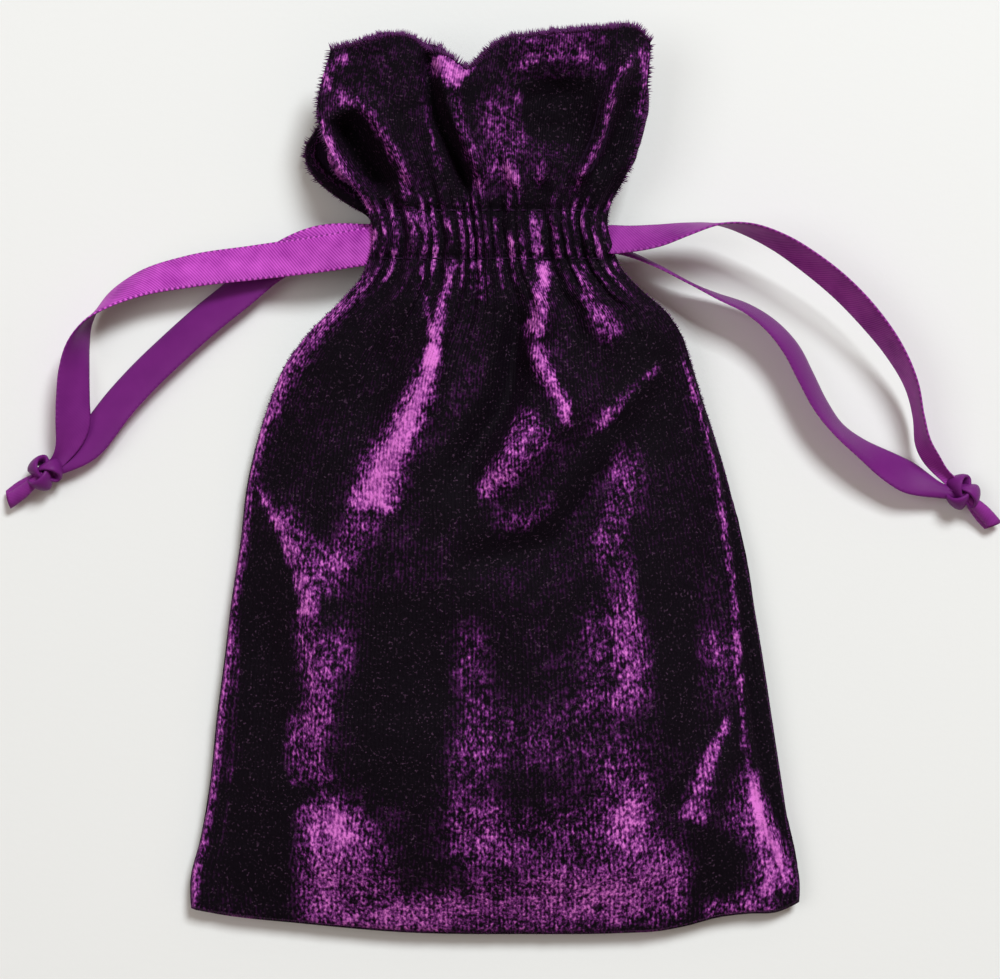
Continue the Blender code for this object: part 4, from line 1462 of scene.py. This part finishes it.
RIGHT_BACK: Points = (
    (9.0, 40.4, 6.6, 0), (14.0, 40.0, 6.6, -14), (20.6, 38.9, 6.4, -56), (26.9, 36.4, 5.8, -80),
    (32.3, 33.6, 5.3, -84), (37.2, 31.3, 4.9, -78), (42.6, 29.0, 4.6, -70), (46.7, 26.0, 4.4, -63),
    (49.9, 22.2, 4.3, -58), (52.3, 17.6, 4.2, -58), (54.8, 12.8, 4.1, -60), (57.8, 8.8, 4.0, -64),
    (61.4, 5.8, 3.9, -58), (66.2, 2.6, 3.5, -38), (72.0, -0.4, 3.2, -22), (75.4, -1.6, 3.1, -14),
    (78.2, -2.0, 3.1, -8),
)


class Side(Enum):
    """The side of the pouch that a drawstring comes out of."""

    LEFT = "left"
    RIGHT = "right"


@dataclass
class Drawstring:
    """One satin ribbon's free loop: two strands, a knot and two cut tails.

    Attributes:
        side: Where it leaves the pouch.
        front: The upper strand as x, y, z and turn.
        back: The lower strand.
        knot: The knot's middle.
        heading: The way the tails point, in degrees.
        tail_bends: How far each tail turns on its way.
        unfold: Where the front and the back strand begin to open out of their fold.
        turned: Where the back strand's smooth face comes up, as a start and an end along it.
        painted_highlight: How much of the bright face's look is painted on the front strand's smooth face,
            as a painted highlight.
        lane: y of the runs in the channels.
        satin: What it is made of.
        width: The ribbon's width.
        thickness: Its thickness.
        folded: The share of the width that is left where it is folded.
        tail: Length of a cut tail.
        knot_size: The trefoil's scale along, across and up.
        knot_band: Half the width and half the thickness of the knot's band.
        slides: How far the runs reach past the pouch's middle, and on their own side of it.
        heights: z of the front run and of the back run.
    """

    side: Side
    front: Points
    back: Points
    knot: Place
    heading: float
    tail_bends: tuple[float, float]
    unfold: tuple[float, float]
    turned: tuple[float, float]
    painted_highlight: float
    lane: float
    satin: bpy.types.Material
    width: float = 6.35
    thickness: float = 0.36
    folded: float = 0.34
    tail: float = 7.6
    knot_size: Place = (0.88, 0.77, 0.98)
    knot_band: tuple[float, float] = (1.75, 0.55)
    slides: tuple[float, float] = (17.6, 8.4)
    heights: tuple[float, float] = (8.9, 4.9)

    @staticmethod
    def outline(width: Array, thickness: float, cup: Array) -> tuple[Array, Array, Array]:
        """A flat ribbon's section: seven points on each face, cupped by cup * (1 - (2f - 1)^2).

        Args:
            width: The width at each ring.
            thickness: The ribbon's thickness.
            cup: How far the middle stands off the edges at each ring.

        Returns:
            Rings by 14 by two, and for each corner its share of the width and its face.
        """
        share = np.array([0.0, 0.05, 0.25, 0.5, 0.75, 0.95, 1.0])
        half = np.array([0.4, 1, 1, 1, 1, 1, 0.4]) * thickness / 2
        f = np.concatenate([share, share[::-1]])
        b = np.concatenate([half, -half[::-1]])
        a = (f - 0.5) * width[:, None]
        lift = b + cup[:, None] * (1 - (2 * f - 1) ** 2)
        face = np.concatenate([np.ones(7), np.zeros(7)])
        return np.stack([a, lift], axis=-1), f, face

    def ribbon(
        self, name: str, rows: Array, width: Array, cup: Array,
        skew: float = 0.0, turned: Array | float = 0.0,
    ) -> tuple[bpy.types.Object, Array]:
        """Carry the section along a route of x, y, z and turn.

        Args:
            name: The object's name.
            rows: The route, in space.
            width: The width at each row.
            cup: The cupping at each row.
            skew: How far the last edge is cut on the slant, as a share of the width.
            turned: Share of each row's smooth face that is uppermost.

        Returns:
            The object and the line its middle follows.
        """
        path = rows[:, :3]
        across, lift = frames(path, np.radians(rows[:, 3]))
        profile, share, face = self.outline(width, self.thickness, cup)
        rings = tube_rings(path, across, lift, profile)
        ahead = unit(np.gradient(path, axis=0))
        rings[-1] += ahead[-1] * ((share - 0.5) * skew * width[-1])[:, None]
        down = np.concatenate([[0], np.cumsum(np.linalg.norm(np.diff(path, axis=0), axis=1))])
        shape = rings.shape[:2]
        marks = {
            "across": np.broadcast_to(share, shape).ravel(),
            "down": np.repeat(down, shape[1]),
            "back": (face + np.reshape(turned, (-1, 1)) * (1 - 2 * face) + np.zeros(shape)).ravel(),
        }
        faces = tube_faces(*shape)
        made = make_object(name, rings.reshape(-1, 3), faces, self.satin, **marks)
        return made, rings.mean(axis=1)

    def strand(self, face: Face) -> tuple[bpy.types.Object, Array]:
        """A free strand, from inside the channel to the knot.

        Args:
            face: The front strand or the back one.

        Returns:
            The new object, and the line its middle follows, in metres.
        """
        route = np.array(self.front if face is Face.FRONT else self.back, float)
        route[:, :3] = sight_line(route[:, :3])
        rows = resample(route, 0.7)
        down = np.linspace(0, 1, len(rows))
        long = length_of(rows[:, :3])
        hidden, end = down * long, (1 - down) * long
        opens = self.unfold[0] if face is Face.FRONT else self.unfold[1]
        width = self.width * (self.folded + (1 - self.folded) * smooth((hidden - opens) / (opens + 1.0)))
        width = width * (0.36 + 0.64 * smooth((end - 1.5) / 9.0))
        cup = 0.25 + 0.35 * (1 - smooth(end / 9.0)) + 0.12 * np.sin(hidden / 6.1)
        start, stop = self.turned
        # The front strand's smooth face takes part of the bright face's look as a painted highlight.
        turned = smooth((hidden - start) / (stop - start)) if face is Face.BACK else self.painted_highlight
        label = face.name.lower()
        made, line = self.ribbon(f"{self.side.value}_{label}_ribbon", rows, width, cup, turned=turned)
        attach(made, f"{self.side.value}_loop")
        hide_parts(f"{self.side.value}_ribbon_{label}_strand")
        return made, line * MM

    def tails(self) -> list[bpy.types.Object]:
        """The two cut ends beyond the knot, each bent a little and cut on the slant.

        Returns:
            The new objects.
        """
        made = []
        for label, bend, lift, spread in (
            ("front", self.tail_bends[0], 0.5, 6.0), ("back", self.tail_bends[1], -0.6, -8.0)
        ):
            t = np.linspace(0, 1, 14)
            heading = np.radians(self.heading + spread + bend * t)
            step = self.tail / (len(t) - 1)
            x = self.knot[0] + np.concatenate([[0], np.cumsum(np.cos(heading[:-1]))]) * step
            y = self.knot[1] + np.concatenate([[0], np.cumsum(np.sin(heading[:-1]))]) * step
            z = np.maximum(self.knot[2] + lift - 1.9 * t, 1.1)
            turn = 22 * np.sin(2.4 * t + 1) * (1 if label == "front" else -1)
            rows = np.stack([x, y, z, turn], axis=1)
            rows[:, :3] = sight_line(rows[:, :3])
            width = 1.5 + 0.9 * smooth(t * 1.4)
            name = f"{self.side.value}_{label}_tail"
            tail, _ = self.ribbon(name, rows, width, 0.85 - 0.2 * t, 0.5, turned=0.75)
            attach(tail, f"{self.side.value}_loop")
            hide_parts(f"{self.side.value}_tail_{label}")
            made.append(tail)
        return made

    def tie(self) -> bpy.types.Object:
        """The knot: a flat band carried once round a trefoil, drawn tight.

        The trefoil is (sin t + 2 sin 2t, cos t - 2 cos 2t, -sin 3t), scaled along, across and up.

        Returns:
            The new object.
        """
        t = np.linspace(0, 2 * math.pi, 120, endpoint=False)
        trefoil = (np.sin(t) + 2 * np.sin(2 * t), np.cos(t) - 2 * np.cos(2 * t), -np.sin(3 * t))
        x, y, z = (part * size for part, size in zip(trefoil, self.knot_size))
        c, s = math.cos(math.radians(self.heading)), math.sin(math.radians(self.heading))
        path = np.stack([x * c - y * s, x * s + y * c, z], axis=1) + sight_line(np.array([self.knot]))
        ahead = unit(np.roll(path, -1, 0) - np.roll(path, 1, 0))
        away = unit(path - path.mean(axis=0))
        across = unit(np.cross(ahead, away))
        lift = np.cross(across, ahead)
        corners = 14
        angle = np.arange(corners) / corners * 2 * math.pi
        section = np.stack([np.cos(angle), np.sin(angle)], axis=1) * self.knot_band
        rings = tube_rings(path, across, lift, section)
        shape = rings.shape[:2]
        marks = {
            "across": np.broadcast_to(0.5 + 0.46 * np.cos(angle), shape).ravel(),
            "down": np.repeat(np.linspace(0, 19, len(t)), corners),
            "back": np.zeros(shape).ravel(),
        }
        name = f"{self.side.value}_ribbon_knot"
        faces = tube_faces(*shape, looped=True)
        made = make_object(name, rings.reshape(-1, 3), faces, self.satin, **marks)
        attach(made, f"{self.side.value}_loop")
        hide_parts(f"{self.side.value}_knot")
        return made

    def hidden(self) -> None:
        """The folded ribbon inside the neck: a run in each channel, and the bend between them.

        The bend is half a flattened circle in the upright plane, at the runs' far end.
        """
        way = -1.0 if self.side is Side.LEFT else 1.0
        far, near = -self.slides[0] * way, self.slides[1] * way
        high, low = self.heights
        radius, middle = (high - low) / 2, (high + low) / 2
        angle = np.linspace(math.pi / 2, -math.pi / 2, 13)
        level, along = np.zeros_like(angle), far - way * radius * 0.7 * np.cos(angle)
        runs = {
            "front_run": np.array([(near, self.lane, high, 0.0), (far, self.lane, high, 0.0)]),
            "back_run": np.array([(near, self.lane, low, 0.0), (far, self.lane, low, 0.0)]),
            "bend": np.stack([along, level + self.lane, middle + radius * np.sin(angle), level], axis=1),
        }
        for label, route in runs.items():
            rows = resample(route, 1.0)
            wide = np.full(len(rows), self.width * self.folded)
            made, _ = self.ribbon(f"{self.side.value}_{label}", rows, wide, wide * 0)
            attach(made, "bag" if label == "bend" else f"{self.side.value}_drawstring")
            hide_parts(f"{self.side.value}_ribbon_{label}")

    def build(self) -> None:
        """Make the loop and the folded ribbon inside the neck."""
        front, back = self.strand(Face.FRONT), self.strand(Face.BACK)
        knot, tails = self.tie(), self.tails()
        for (strand, line), extra in ((front, [knot, tails[0]]), (back, [tails[1]])):
            self.width * MM
        self.hidden()


# ---------------------------------------------------------------- the table and the light


@dataclass(frozen=True)
class Lamp:
    """A rectangular lamp that faces the pouch.

    Attributes:
        name: Its name.
        place: Where it is, in metres.
        size: Its sides, in metres.
        power: Its strength in watts.
        tint: Its colour.
    """

    name: str
    place: Place
    size: tuple[float, float]
    power: float
    tint: Colour

    def light(self) -> None:
        """Make the lamp and put it in the scene."""
        light = bpy.data.lights.new(self.name, "AREA")
        light.shape = "RECTANGLE"
        light.size, light.size_y = self.size
        light.energy = self.power
        light.color = self.tint
        made = bpy.data.objects.new(self.name, light)
        made.location = self.place
        aim = -np.array(self.place)
        pitch = math.acos(-aim[2] / np.linalg.norm(aim))
        made.rotation_euler = (pitch, 0.0, math.atan2(aim[1], aim[0]) - math.pi / 2)
        bpy.context.scene.collection.objects.link(made)


@dataclass
class Studio:
    """A pale table under two soft lamps and a warm dim sky, with the eye straight above.

    Attributes:
        paper: The table's colour.
        sky: The colour and strength of the light from all round.
        lamps: The lamp beyond the ruffle, and a weak one at the left.
    """

    paper: Colour = (0.80, 0.80, 0.79)
    sky: tuple[Colour, float] = ((1.0, 0.80, 0.66), 0.26)
    lamps: tuple[Lamp, ...] = (
        Lamp("window", (0.46, 0.90, 1.28), (0.50, 0.44), 25.8, (0.92, 0.98, 1.0)),
        Lamp("fill", (-0.80, 0.10, 1.20), (0.8, 0.8), 4.4, (0.95, 0.98, 1.0)),
    )

    def table_top(self) -> None:
        """A wide plane just under the pouch, with a faint tooth."""
        side = 1500.0
        points = np.array([[-side, -side, 0], [side, -side, 0], [side, side, 0], [-side, side, 0]])
        book = NodeBook("paper")
        tooth = book.noise(book.place(), 900.0, 3.0)
        cloud = book.noise(book.place(), 7.0, 1.0)
        darker = tuple(c * 0.965 for c in self.paper)
        book.set(
            Base_Color=book.blend(cloud, darker, self.paper),
            Roughness=0.85,
            Specular_IOR_Level=0.2,
            Normal=book.bump(tooth, 0.0001, 0.2),
        )
        floor = make_object("table_top", points - [0, 0, 0.05], [np.array([[0, 1, 2, 3]])], book.material)

    def eye(self) -> None:
        """The camera, straight above, wide enough for the field."""
        camera = bpy.data.cameras.new("eye")
        camera.sensor_width = 36.0
        camera.lens = camera.sensor_width * EYE[2] / FIELD_WIDTH
        camera.clip_start, camera.clip_end = 0.01, 20.0
        made = bpy.data.objects.new("eye", camera)
        made.location = EYE * MM
        bpy.context.scene.collection.objects.link(made)
        bpy.context.scene.camera = made

    def build(self) -> None:
        """Make the table, the lamps, the sky and the camera."""
        self.table_top()
        for lamp in self.lamps:
            lamp.light()
        world = bpy.data.worlds.new("sky")
        world.use_nodes = True
        backdrop = world.node_tree.nodes["Background"]
        backdrop.inputs["Color"].default_value = (*self.sky[0], 1.0)
        backdrop.inputs["Strength"].default_value = self.sky[1]
        bpy.context.scene.world = world
        bpy.context.scene.view_settings.view_transform = "Standard"
        self.eye()
        LOG.info("studio: table, two lamps, sky and camera")


def main() -> None:
    """Build every piece in order."""
    logging.basicConfig(level=logging.INFO, format="%(name)s %(message)s")
    Studio().build()
    satin = SatinFinish().material("satin")
    Drawstring(
        side=Side.LEFT, front=LEFT_FRONT, back=LEFT_BACK, knot=(-75.9, 1.6, 3.2), heading=219.0,
        tail_bends=(-12.0, 10.0), unfold=(5.0, 5.0), turned=(24.0, 33.0), painted_highlight=0.05, lane=40.2, satin=satin,
    ).build()
    Drawstring(
        side=Side.RIGHT, front=RIGHT_FRONT, back=RIGHT_BACK, knot=(78.6, -1.8, 3.2), heading=-46.0,
        tail_bends=(-10.0, 12.0), unfold=(5.0, 15.0), turned=(2.0, 4.0), painted_highlight=0.6, lane=42.6, satin=satin,
    ).build()
    pouch = Pouch()
    pouch.build()
    Stitching(pouch).build()


if __name__ == "__main__":
    main()
